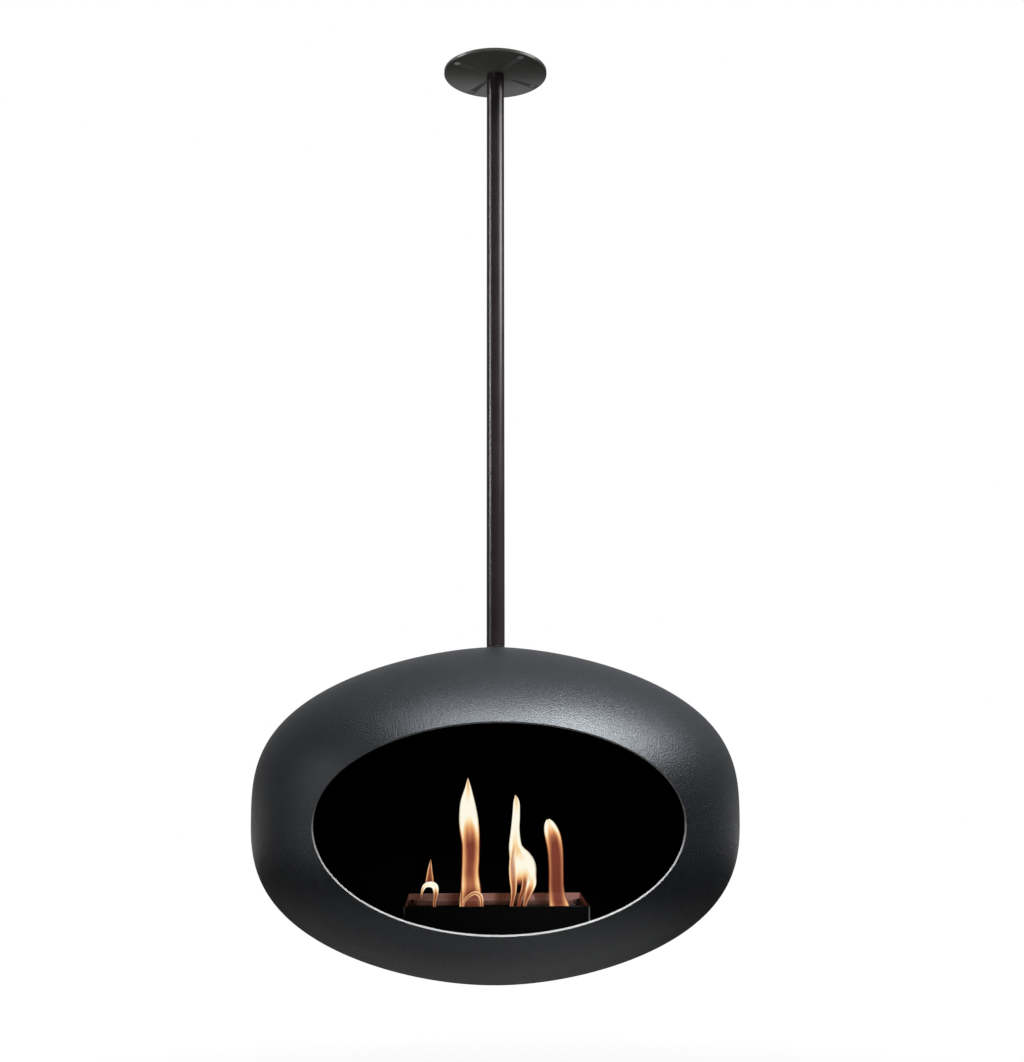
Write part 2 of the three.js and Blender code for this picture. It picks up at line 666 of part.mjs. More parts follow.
// An upright rib under the cradle plate, its lower edge cut to the dome's floor.
function cradleRib(y) {
  const outline = new THREE.Shape();
  const end = CRADLE_HALF.x - RIB_INSET;
  outline.moveTo(-end, -DOME_HALF_HEIGHT);
  outline.lineTo(end, -DOME_HALF_HEIGHT);
  outline.lineTo(end, RIB_TOP);
  outline.lineTo(-end, RIB_TOP);
  for (const step of [-1, 0, 1]) {
    const hole = new THREE.Path();
    const drop = 1.6 * RIB_HOLE_RADIUS;
    hole.absarc(step * RIB_HOLE_PITCH, RIB_TOP - drop, RIB_HOLE_RADIUS, 0, 2 * Math.PI);
    outline.holes.push(hole);
  }
  const sheet = new THREE.ExtrudeGeometry(outline, {
    depth: CRADLE_SHEET,
    bevelEnabled: false,
    curveSegments: SMALL_TURN / 2,
  });
  sheet.rotateX(Math.PI / 2).translate(0, y + CRADLE_SHEET / 2, 0);
  return common(sheet, domeCavity());
}

function housingScrewPlaces() {
  const x = HOUSING_HALF.x - HOUSING_SCREW_INSET_X;
  const y = HOUSING_HALF.y - HOUSING_SCREW_INSET_Y;
  return [[-x, -y], [x, -y], [x, y], [-x, y]];
}

function housingScrewHoles(bottom, top) {
  const hole = disc(HOUSING_SCREW_RADIUS + SEAT, bottom, top, SMALL_TURN);
  return housingScrewPlaces().map(([x, y]) => hole.clone().translate(x, y, 0));
}

function burnerHousing() {
  const innerCorner = HOUSING_CORNER - HOUSING_SHEET;
  const footHalf = HOUSING_INNER_HALF.clone().subScalar(HOUSING_FOOT_FLANGE - HOUSING_SHEET);
  const footTop = HOUSING_BOTTOM + HOUSING_SHEET;
  const ledgeBottom = LEDGE_TOP - HOUSING_SHEET;
  return cut(
    slab(roundedRectangle(HOUSING_HALF, HOUSING_CORNER), HOUSING_BOTTOM, HOUSING_TOP),
    slab(roundedRectangle(HOUSING_INNER_HALF, innerCorner), LEDGE_TOP, HOUSING_TOP + 1),
    slab(roundedRectangle(LEDGE_HALF, innerCorner), ledgeBottom - 1, LEDGE_TOP + 1),
    slab(roundedRectangle(HOUSING_INNER_HALF, innerCorner), footTop, ledgeBottom),
    slab(roundedRectangle(footHalf, innerCorner), HOUSING_BOTTOM - 1, footTop + 1),
    ...housingScrewHoles(HOUSING_BOTTOM - 1, footTop + 1),
  );
}

// A pan-head screw, its shank down, its head's underside at zero.
function panScrew(radius, headRadius, headHeight, length) {
  const blank = revolve(
    [
      [0, -length],
      [radius, -length],
      [radius, 0],
      [headRadius, 0],
      [headRadius, headHeight * 0.5],
      [headRadius * 0.7, headHeight],
      [0, headHeight],
    ],
    SMALL_TURN,
  );
  const slot = new THREE.BoxGeometry(3 * headRadius, headRadius * 0.25, headHeight);
  return cut(blank, slot.translate(0, 0, headHeight));
}

function housing() {
  const cradle = cut(
    slab(roundedRectangle(CRADLE_HALF, CRADLE_CORNER), CRADLE_TOP - CRADLE_SHEET, CRADLE_TOP),
    ...housingScrewHoles(CRADLE_TOP - CRADLE_SHEET - 1, CRADLE_TOP + 1),
  );
  const grip = HOUSING_SHEET + CRADLE_SHEET + 2 * SEAT;
  const screws = housingScrewPlaces().map(([x, y], i) =>
    piece(
      `housing_screw_${i + 1}`,
      panScrew(
        HOUSING_SCREW_RADIUS,
        HOUSING_SCREW_HEAD_RADIUS,
        HOUSING_SCREW_HEAD_HEIGHT,
        grip,
      ),
      ZINC_STEEL,
      x,
      y,
      HOUSING_BOTTOM + HOUSING_SHEET + SEAT,
    ),
  );
  return assembly(
    piece("cradle_rib_front", cradleRib(RIB_INSET - CRADLE_HALF.y), RAW_STEEL),
    piece("cradle_rib_rear", cradleRib(CRADLE_HALF.y - RIB_INSET), RAW_STEEL),
    piece("cradle_plate", cradle, RAW_STEEL),
    piece("burner_housing", burnerHousing(), BURNER_BLACK),
    ...screws,
  );
}

// ---------------------------------------------------------------- burner insert

function fuelTank() {
  const flangeHalf = HOUSING_INNER_HALF.clone().subScalar(TANK_FLANGE_CLEARANCE);
  const flangeBottom = TANK_FLANGE_TOP - TANK_SHEET;
  const pressed = join(
    slab(roundedRectangle(TANK_HALF, TANK_CORNER), TANK_BOTTOM, TANK_FLANGE_TOP),
    slab(roundedRectangle(flangeHalf, TANK_CORNER / 4), flangeBottom, TANK_FLANGE_TOP),
  );
  const innerCorner = TANK_CORNER - TANK_SHEET;
  const inside = roundedRectangle(TANK_INNER_HALF, innerCorner);
  return cut(pressed, slab(inside, TANK_BOTTOM + TANK_SHEET, TANK_FLANGE_TOP + 1));
}

function topPlate() {
  const half = HOUSING_INNER_HALF.clone().subScalar(TOP_PLATE_CLEARANCE);
  const bottom = TOP_PLATE_TOP - TOP_PLATE_SHEET;
  const outer = [SLOT_HALF_LENGTH + COLLAR_WALL, SLOT_HALF_WIDTH + COLLAR_WALL];
  const plate = join(
    slab(roundedRectangle(half, HOUSING_CORNER / 2), bottom, TOP_PLATE_TOP),
    slab(slotOutline(...outer, SLOT_CENTRE_Y), COLLAR_BOTTOM, bottom + 1, SLOT_END_STEPS),
  );
  const slot = slotOutline(SLOT_HALF_LENGTH, SLOT_HALF_WIDTH, SLOT_CENTRE_Y);
  return cut(
    plate,
    slab(slot, COLLAR_BOTTOM - 1, TOP_PLATE_TOP + 1, SLOT_END_STEPS),
    ...railScrewHoles(bottom - 1, TOP_PLATE_TOP + 1),
  );
}

function wickScreen() {
  const half = TANK_INNER_HALF.clone().subScalar(2 * SEAT);
  const outline = roundedRectangle(half, TANK_CORNER - TANK_SHEET);
  const columns = Math.floor((2 * SLOT_HALF_LENGTH) / SCREEN_HOLE_PITCH);
  for (let row = 0; row < SCREEN_HOLE_ROWS; row += 1) {
    for (let column = 0; column < columns; column += 1) {
      const x = (column - (columns - 1) / 2) * SCREEN_HOLE_PITCH;
      const y = SLOT_CENTRE_Y + (row - (SCREEN_HOLE_ROWS - 1) / 2) * SCREEN_HOLE_PITCH;
      const hole = new THREE.Path();
      hole.absarc(x, y, SCREEN_HOLE_RADIUS, 0, 2 * Math.PI);
      outline.holes.push(hole);
    }
  }
  return slab(outline, SCREEN_BOTTOM, SCREEN_BOTTOM + SCREEN_SHEET, SLOT_END_STEPS);
}

function woolPad() {
  const half = TANK_INNER_HALF.clone().subScalar(2 * SEAT);
  const outline = roundedRectangle(half, TANK_CORNER - TANK_SHEET);
  return slab(outline, TANK_BOTTOM + TANK_SHEET + SEAT, SCREEN_BOTTOM - SEAT);
}

// ---------------------------------------------------------------- lid and rails

const railInnerX = LID_HALF.x + RAIL_LID_CLEARANCE;
const railOuterX = HOUSING_INNER_HALF.x - 2 * TOP_PLATE_CLEARANCE;
const railScrewX = (railInnerX + railOuterX) / 2;

function railScrewPlaces() {
  const front = RAIL_FRONT_Y + RAIL_SCREW_END_INSET;
  const back = RAIL_BACK_Y - RAIL_SCREW_END_INSET;
  return [-railScrewX, railScrewX].flatMap((x) => [[x, front], [x, back]]);
}

function railScrewHoles(bottom, top) {
  const hole = disc(RAIL_SCREW_RADIUS + SEAT, bottom, top, SMALL_TURN);
  return railScrewPlaces().map(([x, y]) => hole.clone().translate(x, y, 0));
}

// The guide on one end of the slot: a bar with a lip that holds the lid down.
function lidRail(side) {
  const lipX = LID_HALF.x - RAIL_LIP;
  const section = new THREE.Shape(
    [
      [railInnerX, LID_BOTTOM],
      [railOuterX, LID_BOTTOM],
      [railOuterX, RAIL_TOP],
      [lipX, RAIL_TOP],
      [lipX, RAIL_LIP_BOTTOM],
      [railInnerX, RAIL_LIP_BOTTOM],
    ].map(([x, z]) => new THREE.Vector2(side * x, z)),
  );
  const bar = new THREE.ExtrudeGeometry(section, {
    depth: RAIL_BACK_Y - RAIL_FRONT_Y,
    bevelEnabled: false,
  });
  bar.rotateX(Math.PI / 2).translate(0, RAIL_BACK_Y, 0);
  return cut(bar, ...railScrewHoles(LID_BOTTOM - 1, RAIL_TOP + 1));
}

function slotLid() {
  const outline = roundedRectangle(LID_HALF, 3, LID_OPEN_Y);
  const hook = new THREE.Path();
  const hookX = LID_HALF.x - LID_HOOK_HOLE_INSET;
  hook.absarc(hookX, LID_OPEN_Y, LID_HOOK_HOLE_RADIUS, 0, 2 * Math.PI);
  outline.holes.push(hook);
  return slab(outline, LID_BOTTOM, LID_BOTTOM + LID_SHEET, SLOT_END_STEPS);
}

function burnerInsert() {
  const grip = RAIL_TOP - LID_BOTTOM + TOP_PLATE_SHEET + SEAT;
  const screws = railScrewPlaces().map(([x, y], i) =>
    piece(
      `rail_screw_${i + 1}`,
      panScrew(RAIL_SCREW_RADIUS, RAIL_SCREW_HEAD_RADIUS, RAIL_SCREW_HEAD_HEIGHT, grip),
      ZINC_STEEL,
      x,
      y,
      RAIL_TOP + SEAT,
    ),
  );
  return assembly(
    piece("fuel_tank", fuelTank(), STAINLESS),
    piece("wick_pad", woolPad(), WOOL_WHITE),
    piece("wick_screen", wickScreen(), STAINLESS),
    piece("top_plate", topPlate(), BURNER_BLACK),
    piece("lid_rail_left", lidRail(-1), BURNER_BLACK),
    piece("lid_rail_right", lidRail(1), BURNER_BLACK),
    piece("slot_lid", slotLid(), BURNER_BLACK),
    ...screws,
  );
}

// ---------------------------------------------------------------- the whole

const dome = assembly(domeShells(), domeHub(), housing(), burnerInsert());
dome.position.z = DOME_CENTRE;

export default assembly(hanger(), dome);
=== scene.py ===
"""A hanging fireplace: a spun steel dome on a ceiling tube, with a burner for liquid fuel.

Every length is in metres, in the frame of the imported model: the origin is the middle of
the ceiling plate's upper face, Z is up and the mouth faces -Y.
"""

import logging
import math
import random
from collections.abc import Callable, Iterable, Mapping, Sequence
from dataclasses import dataclass
from enum import Enum
from typing import Any

import bmesh
import bpy
from bmesh.types import BMEdge, BMesh, BMFace, BMVert
from mathutils import Matrix, Vector


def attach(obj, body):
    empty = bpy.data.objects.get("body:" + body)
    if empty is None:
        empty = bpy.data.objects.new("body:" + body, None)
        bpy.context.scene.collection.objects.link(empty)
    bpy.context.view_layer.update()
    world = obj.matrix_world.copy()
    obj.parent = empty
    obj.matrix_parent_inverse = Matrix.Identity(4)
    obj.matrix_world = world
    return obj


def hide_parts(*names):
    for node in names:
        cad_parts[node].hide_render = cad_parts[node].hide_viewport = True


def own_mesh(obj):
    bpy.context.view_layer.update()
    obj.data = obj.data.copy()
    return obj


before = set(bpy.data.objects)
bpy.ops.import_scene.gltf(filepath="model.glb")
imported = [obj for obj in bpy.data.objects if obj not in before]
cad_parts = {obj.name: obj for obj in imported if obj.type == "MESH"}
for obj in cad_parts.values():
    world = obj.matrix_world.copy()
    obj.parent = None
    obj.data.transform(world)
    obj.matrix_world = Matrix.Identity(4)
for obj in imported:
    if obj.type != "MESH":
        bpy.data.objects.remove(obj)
LOG = logging.getLogger("hanging_fireplace")

Pair = tuple[float, float]
Triple = tuple[float, float, float]
Colour = Triple
Outline = Sequence[Pair]

DOME_CENTRE = -1.1354
SLOT_Y = -0.012
WELD_DISTANCE = 1e-6
FIT_GAP = 0.0003
EDGE_BREAK = 0.0003
FLAME_LAYERS = ("paleness", "body", "side", "rise")


class Body(Enum):
    """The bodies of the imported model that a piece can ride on."""

    HANGER = "hanger"
    DOME = "dome"
    BURNER = "burner"
    LID = "lid"


# ------------------------------------------------------------------ material graphs


class Value:
    """A socket of a material's graph that takes part in Python arithmetic."""

    def __init__(self, graph: "Graph", socket: bpy.types.NodeSocket) -> None:
        """Wrap a socket.

        Args:
            graph: The graph that the socket belongs to.
            socket: The output socket to read.
        """
        self.graph = graph
        self.socket = socket

    def _math(self, operation: str, *terms: "Value | float") -> "Value":
        """Add one Math node that reads these terms in order."""
        return self.graph.node("ShaderNodeMath", {"operation": operation}, dict(enumerate(terms)))

    def __add__(self, other: "Value | float") -> "Value":
        """Return self + other."""
        return self._math("ADD", self, other)

    __radd__ = __add__

    def __sub__(self, other: "Value | float") -> "Value":
        """Return self - other."""
        return self._math("SUBTRACT", self, other)

    def __rsub__(self, other: float) -> "Value":
        """Return other - self."""
        return self._math("SUBTRACT", other, self)

    def __mul__(self, other: "Value | float") -> "Value":
        """Return self * other."""
        return self._math("MULTIPLY", self, other)

    __rmul__ = __mul__

    def limited(self, low: float = 0.0, high: float = 1.0) -> "Value":
        """Return self kept between low and high."""
        return self._math("MINIMUM", self._math("MAXIMUM", self, low), high)

    def spread(self, low: float, high: float) -> "Value":
        """Return self stretched so that low becomes 0 and high becomes 1, and kept there."""
        return ((self - low) * (1 / (high - low))).limited()


class Graph:
    """The node graph of one material, or of the world."""

    def __init__(self, owner: bpy.types.Material | bpy.types.World) -> None:
        """Start an empty graph.

        Args:
            owner: What the graph belongs to.
        """
        owner.use_nodes = True
        self.owner = owner
        self.tree = owner.node_tree
        self.tree.nodes.clear()

    def node(
        self,
        kind: str,
        settings: Mapping[str, Any] | None = None,
        inputs: Mapping[str | int, Any] | None = None,
        output: str | int = 0,
    ) -> Value:
        """Add a node.

        Args:
            kind: The node's type.
            settings: Its settings, set first. "stops" gives a ramp's stops.
            inputs: The value or link of each socket.
            output: The output socket to return.

        Returns:
            The output socket, ready for arithmetic.
        """
        made = self.tree.nodes.new(kind)
        for name, setting in (settings or {}).items():
            if name == "stops":
                self._set_stops(made.color_ramp.elements, setting)
            else:
                setattr(made, name, setting)
        for name, value in (inputs or {}).items():
            if isinstance(value, Value):
                self.tree.links.new(value.socket, made.inputs[name])
            else:
                made.inputs[name].default_value = value
        return Value(self, made.outputs[output])

    @staticmethod
    def _set_stops(elements: Any, stops: Sequence[tuple[float, Colour]]) -> None:
        """Give a colour ramp its stops.

        Args:
            elements: The ramp's elements.
            stops: Each stop's position and colour.
        """
        while len(elements) < len(stops):
            elements.new(1.0)
        for element, (position, colour) in zip(elements, stops, strict=True):
            element.position = position
            element.color = (*colour, 1.0)

    def place(self) -> Value:
        """Return the object coordinates, which are metres in the model's frame."""
        return self.node("ShaderNodeTexCoord", output="Object")

    def stretched(self, scale: Triple) -> Value:
        """Return the object coordinates with each axis multiplied by a scale."""
        return self.node(
            "ShaderNodeMapping", {"vector_type": "POINT"}, {"Vector": self.place(), "Scale": scale}
        )

    def noise(self, scale: float, detail: float = 2.0, vector: Value | None = None) -> Value:
        """Return noise from 0 to 1.

        Args:
            scale: Features in a metre, or in a unit of the vector.
            detail: Octaves of finer noise.
            vector: Where to read it, or None for object coordinates.

        Returns:
            The noise.
        """
        inputs = {"Vector": vector or self.place(), "Scale": scale, "Detail": detail}
        return self.node("ShaderNodeTexNoise", None, inputs)

    def mixed(self, share: Value | float, first: Value | Colour, second: Value | Colour) -> Value:
        """Return a colour between two colours.

        Args:
            share: How much of the second colour.
            first: The colour at 0.
            second: The colour at 1.

        Returns:
            The colour.
        """
        inputs = {
            key: value if isinstance(value, Value) else (*value, 1.0)
            for key, value in ((6, first), (7, second))
        }
        return self.node("ShaderNodeMix", {"data_type": "RGBA"}, {0: share, **inputs}, 2)

    def bump(self, height: Value, distance: float, strength: float = 1.0) -> Value:
        """Return a normal bent by a height.

        Args:
            height: The height, from 0 to 1.
            distance: How high 1 is.
            strength: How much of it shows.

        Returns:
            The normal.
        """
        inputs = {"Height": height, "Distance": distance, "Strength": strength}
        return self.node("ShaderNodeBump", None, inputs)

    def finish(self, inputs: Mapping[str, Any]) -> bpy.types.Material:
        """Close the graph with a Principled shader.

        Args:
            inputs: The shader's sockets.

        Returns:
            The finished material.
        """
        shader = self.node("ShaderNodeBsdfPrincipled", None, inputs)
        end = self.tree.nodes.new("ShaderNodeOutputMaterial")
        self.tree.links.new(shader.socket, end.inputs["Surface"])
        return self.owner

    def paths(self) -> tuple[Value, Value]:
        """Return 1 where the camera looks, and 1 where gloss or glass looks."""
        camera, glossy, through = (
            self.node("ShaderNodeLightPath", output=f"Is {kind} Ray")
            for kind in ("Camera", "Glossy", "Transmission")
        )
        return camera, (glossy + through).limited()


# ------------------------------------------------------------------ finishes


@dataclass(frozen=True)
class Finish:
    """A surface finish. Its material is made the first time that a piece takes it."""

    name: str
    colour: Colour
    roughness: float = 0.5
    metallic: float = 0.0
    specular: float = 0.5

    def material(self) -> bpy.types.Material:
        """Return the finish's material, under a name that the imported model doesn't use."""
        name = f"{self.name}_finish"
        kept = bpy.data.materials.get(name)
        if kept:
            return kept
        graph = Graph(bpy.data.materials.new(name))
        return graph.finish(self.sockets(**self.driven(graph)))

    def driven(self, graph: Graph) -> dict[str, Any]:
        """Return the sockets that the finish drives with nodes of an empty graph."""
        raise NotImplementedError

    def sockets(self, **changed: Any) -> dict[str, Any]:
        """Return the shader's sockets for this finish, with some changed.

        Args:
            changed: Values by socket name, with underscores for spaces.

        Returns:
            Every socket's value by its real name.
        """
        sockets = {
            "Base Color": (*self.colour, 1.0),
            "Roughness": self.roughness,
            "Metallic": self.metallic,
            "Specular IOR Level": self.specular,
        }
        return sockets | {name.replace("_", " "): value for name, value in changed.items()}


@dataclass(frozen=True)
class PowderCoat(Finish):
    """Baked powder paint: a fine sandy skin with darker pits and paler crests."""

    crest: Colour = (0.014, 0.0155, 0.019)
    grains_per_metre: float = 500.0
    grain_height: float = 0.0007

    def driven(self, graph: Graph) -> dict[str, Any]:
        """Add the finish's nodes.

        Args:
            graph: An empty graph.

        Returns:
            The sockets that they drive.
        """
        coarse = graph.noise(self.grains_per_metre, 1.0)
        fine = graph.noise(self.grains_per_metre * 2.6, 2.0)
        cloud = graph.noise(5.0, 3.0)
        sand = coarse * 0.8 + fine * 0.2
        return dict(
            Base_Color=graph.mixed(sand.spread(0.42, 0.72), self.colour, self.crest),
            Roughness=(self.roughness + (coarse - 0.5) * 0.12 + (cloud - 0.5) * 0.04).limited(),
            Normal=graph.bump(sand, self.grain_height),
            Specular_Tint=(0.86, 0.93, 1.0, 1.0),
        )


@dataclass(frozen=True)
class SatinPaint(Finish):
    """Smooth paint with a faint orange peel and uneven gloss."""

    peel_per_metre: float = 260.0
    peel_height: float = 0.00002
    cloud: float = 0.08

    def driven(self, graph: Graph) -> dict[str, Any]:
        """Add the finish's nodes.

        Args:
            graph: An empty graph.

        Returns:
            The sockets that they drive.
        """
        peel = graph.noise(self.peel_per_metre, 1.0)
        cloud = graph.noise(14.0, 4.0)
        dust = graph.noise(1500.0, 1.0)
        paler = tuple(1.35 * channel for channel in self.colour)
        return dict(
            Base_Color=graph.mixed(cloud.spread(0.35, 0.75), self.colour, paler),
            Roughness=(
                self.roughness + (cloud - 0.5) * self.cloud + (dust - 0.5) * 0.05
            ).limited(0.05),
            Normal=graph.bump(peel, self.peel_height, 0.6),
        )


@dataclass(frozen=True)
class BrushedMetal(Finish):
    """Bare metal with hairlines along one axis."""

    hairlines: Triple = (12.0, 900.0, 900.0)
    metallic: float = 1.0

    def driven(self, graph: Graph) -> dict[str, Any]:
        """Add the finish's nodes.

        Args:
            graph: An empty graph.

        Returns:
            The sockets that they drive.
        """
        lines = graph.noise(1.0, 4.0, graph.stretched(self.hairlines))
        stain = graph.noise(30.0, 3.0)
        darker = tuple(0.62 * channel for channel in self.colour)
        return dict(
            Base_Color=graph.mixed(
                (lines * 0.7 + stain * 0.3).spread(0.3, 0.7), darker, self.colour
            ),
            Roughness=(self.roughness + (lines - 0.5) * 0.22).limited(0.08),
            Normal=graph.bump(lines, 0.00003, 0.5),
        )


@dataclass(frozen=True)
class MottledMetal(Finish):
    """Plated or mill-finished metal with a cloudy skin."""

    stain: Colour = (0.1, 0.09, 0.08)
    spots_per_metre: float = 160.0
    metallic: float = 1.0

    def driven(self, graph: Graph) -> dict[str, Any]:
        """Add the finish's nodes.

        Args:
            graph: An empty graph.

        Returns:
            The sockets that they drive.
        """
        spots = graph.noise(self.spots_per_metre, 5.0)
        grit = graph.noise(self.spots_per_metre * 9, 2.0)
        return dict(
            Base_Color=graph.mixed(spots.spread(0.35, 0.7), self.colour, self.stain),
            Roughness=(self.roughness + (spots - 0.5) * 0.3 + (grit - 0.5) * 0.1).limited(0.1),
            Normal=graph.bump(grit * 0.5 + spots * 0.5, 0.00004, 0.5),
        )


@dataclass(frozen=True)
class CeramicWool(Finish):
    """Matted white fibre."""

    def driven(self, graph: Graph) -> dict[str, Any]:
        """Add the finish's nodes.

        Args:
            graph: An empty graph.

        Returns:
            The sockets that they drive.
        """
        tangle = graph.noise(90.0, 6.0)
        fibre = graph.noise(1.0, 5.0, graph.stretched((1400.0, 260.0, 500.0)))
        shade = (tangle * 0.5 + fibre * 0.5).spread(0.3, 0.65)
        darker = tuple(0.7 * channel for channel in self.colour)
        return dict(
            Base_Color=graph.mixed(shade, darker, self.colour),
            Normal=graph.bump(shade, 0.0008, 0.9),
            Sheen_Weight=0.3,
        )


@dataclass(frozen=True)
class Flame(Finish):
    """Burning vapour. Its pieces carry the attributes that FLAME_LAYERS names."""

    core: Colour = (0.2, 0.048, 0.028)
    glow: float = 1.0

    def driven(self, graph: Graph) -> dict[str, Any]:
        """Add the finish's nodes.

        Args:
            graph: An empty graph.

        Returns:
            The sockets that they drive.
        """
        heat, density, side, rise = (
            graph.node("ShaderNodeAttribute", {"attribute_name": name}, None, "Fac")
            for name in FLAME_LAYERS
        )
        waver = graph.noise(1.0, 2.0, graph.stretched((140.0, 140.0, 28.0)))
        edge = side.spread(0.3, 0.8) * 0.6 - side.spread(0.84, 1.0) * 0.75
        foot = 1 - rise.spread(0.0, 0.2)
        lit = (heat + edge + (waver - 0.5) * 0.35 - foot * 0.15).limited()
        stops = [
            (0.0, self.core),
            (0.3, (0.46, 0.16, 0.075)),
            (0.55, (0.82, 0.4, 0.16)),
            (0.8, (0.96, 0.73, 0.4)),
            (1.0, self.colour),
        ]
        glow = graph.node("ShaderNodeValToRGB", {"stops": stops}, {0: lit})
        veil = (density * (1 - side.spread(0.8, 1.0) * 0.85)).limited()
        return dict(
            Emission_Color=glow,
            Emission_Strength=self.glow,
            Alpha=veil,
            Base_Color=(0.0, 0.0, 0.0, 1.0),
        )


DOME_COAT = PowderCoat("dome_powder_black", (0.003, 0.0033, 0.0042), 0.385, 0.0, 0.45)
STOVE_COAT = PowderCoat(
    "stove_matt_black", (0.0035, 0.0035, 0.004), 0.75, 0.0, 0.12, (0.006, 0.006, 0.0065)
)
# Near-white finish for the burner box's rounded front corners: a painted highlight of the light that
# the folds catch.
HIGHLIGHT_CORNER = BrushedMetal("painted_highlight_corner", (0.9, 0.9, 0.9), 0.6, metallic=0.3)
GROUND_EDGE = BrushedMetal("ground_edge", (0.3, 0.303, 0.31), 0.7, 0.15, 0.2)
PLATE_PAINT = SatinPaint("plate_satin_black", (0.05, 0.051, 0.045), 0.32, 0.0, 0.5)
TUBE_PAINT = SatinPaint("tube_satin_black", (0.014, 0.0095, 0.0105), 0.3, 0.0, 0.45)
BURNER_PAINT = SatinPaint("burner_gloss_black", (0.004, 0.004, 0.0038), 0.2, 0.0, 0.4)
# Warm pale finish for the housing's inner walls: painted light of the flames glowing on them.
FLAME_GLOW_WALL = BrushedMetal("painted_flame_light_wall", (0.85, 0.46, 0.4), 0.5, metallic=0.4)
ZINC = MottledMetal("zinc_plate", (0.62, 0.63, 0.64), 0.34, stain=(0.42, 0.43, 0.45))
RAW_STEEL = MottledMetal("raw_steel", (0.2, 0.2, 0.21), 0.5, stain=(0.09, 0.075, 0.065))
STAINLESS = BrushedMetal("stainless", (0.56, 0.56, 0.55), 0.3)
BRONZE = MottledMetal("bronze", (0.55, 0.33, 0.14), 0.36, stain=(0.26, 0.15, 0.07))
NYLON = SatinPaint("black_nylon", (0.012, 0.012, 0.012), 0.6, 0.0, 0.4, 900.0)
WOOL = CeramicWool("ceramic_wool", (0.82, 0.8, 0.74), 0.95)
FLAME = Flame("flame", (0.98, 0.94, 0.78), 1.0, 0.0, 0.0)


# ------------------------------------------------------------------ blanks and pieces


@dataclass(frozen=True)
class Stage:
    """A rounded rectangle that a loft passes through.

    Args:
        half: Half its size in X and in Y.
        corner: The radius of its corners.
        height: Its Z.
        middle: The Y of its middle.
    """

    half: Pair
    corner: float
    height: float
    middle: float = 0.0

    def _core(self, co: Vector) -> Vector:
        """Return the middle of the corner round that a point belongs to.

        Args:
            co: The point.

        Returns:
            The middle.
        """
        x = math.copysign(self.half[0] - self.corner, co.x)
        y = self.middle + math.copysign(self.half[1] - self.corner, co.y - self.middle)
        return Vector((x, y, self.height))

    def refit(self, co: Vector, last: "Stage") -> Vector:
        """Return where a point of another stage comes to lie on this one.

        Args:
            co: The point.
            last: The stage that it lies on.

        Returns:
            The place.
        """
        centred = Vector((co.x, co.y - last.middle + self.middle, self.height))
        return self._core(centred) + (co - last._core(co)) * (self.corner / last.corner)


def grown(bm: BMesh, edges: list[BMEdge]) -> tuple[set[BMVert], list[BMEdge]]:
    """Extrude a ring of edges in place.

    Args:
        bm: The mesh.
        edges: The ring.

    Returns:
        The new ring's corners and its edges.
    """
    made = bmesh.ops.extrude_edge_only(bm, edges=edges)["geom"]
    verts = {item for item in made if isinstance(item, BMVert)}
    own = [item for item in made if isinstance(item, BMEdge) and verts.issuperset(item.verts)]
    return verts, own


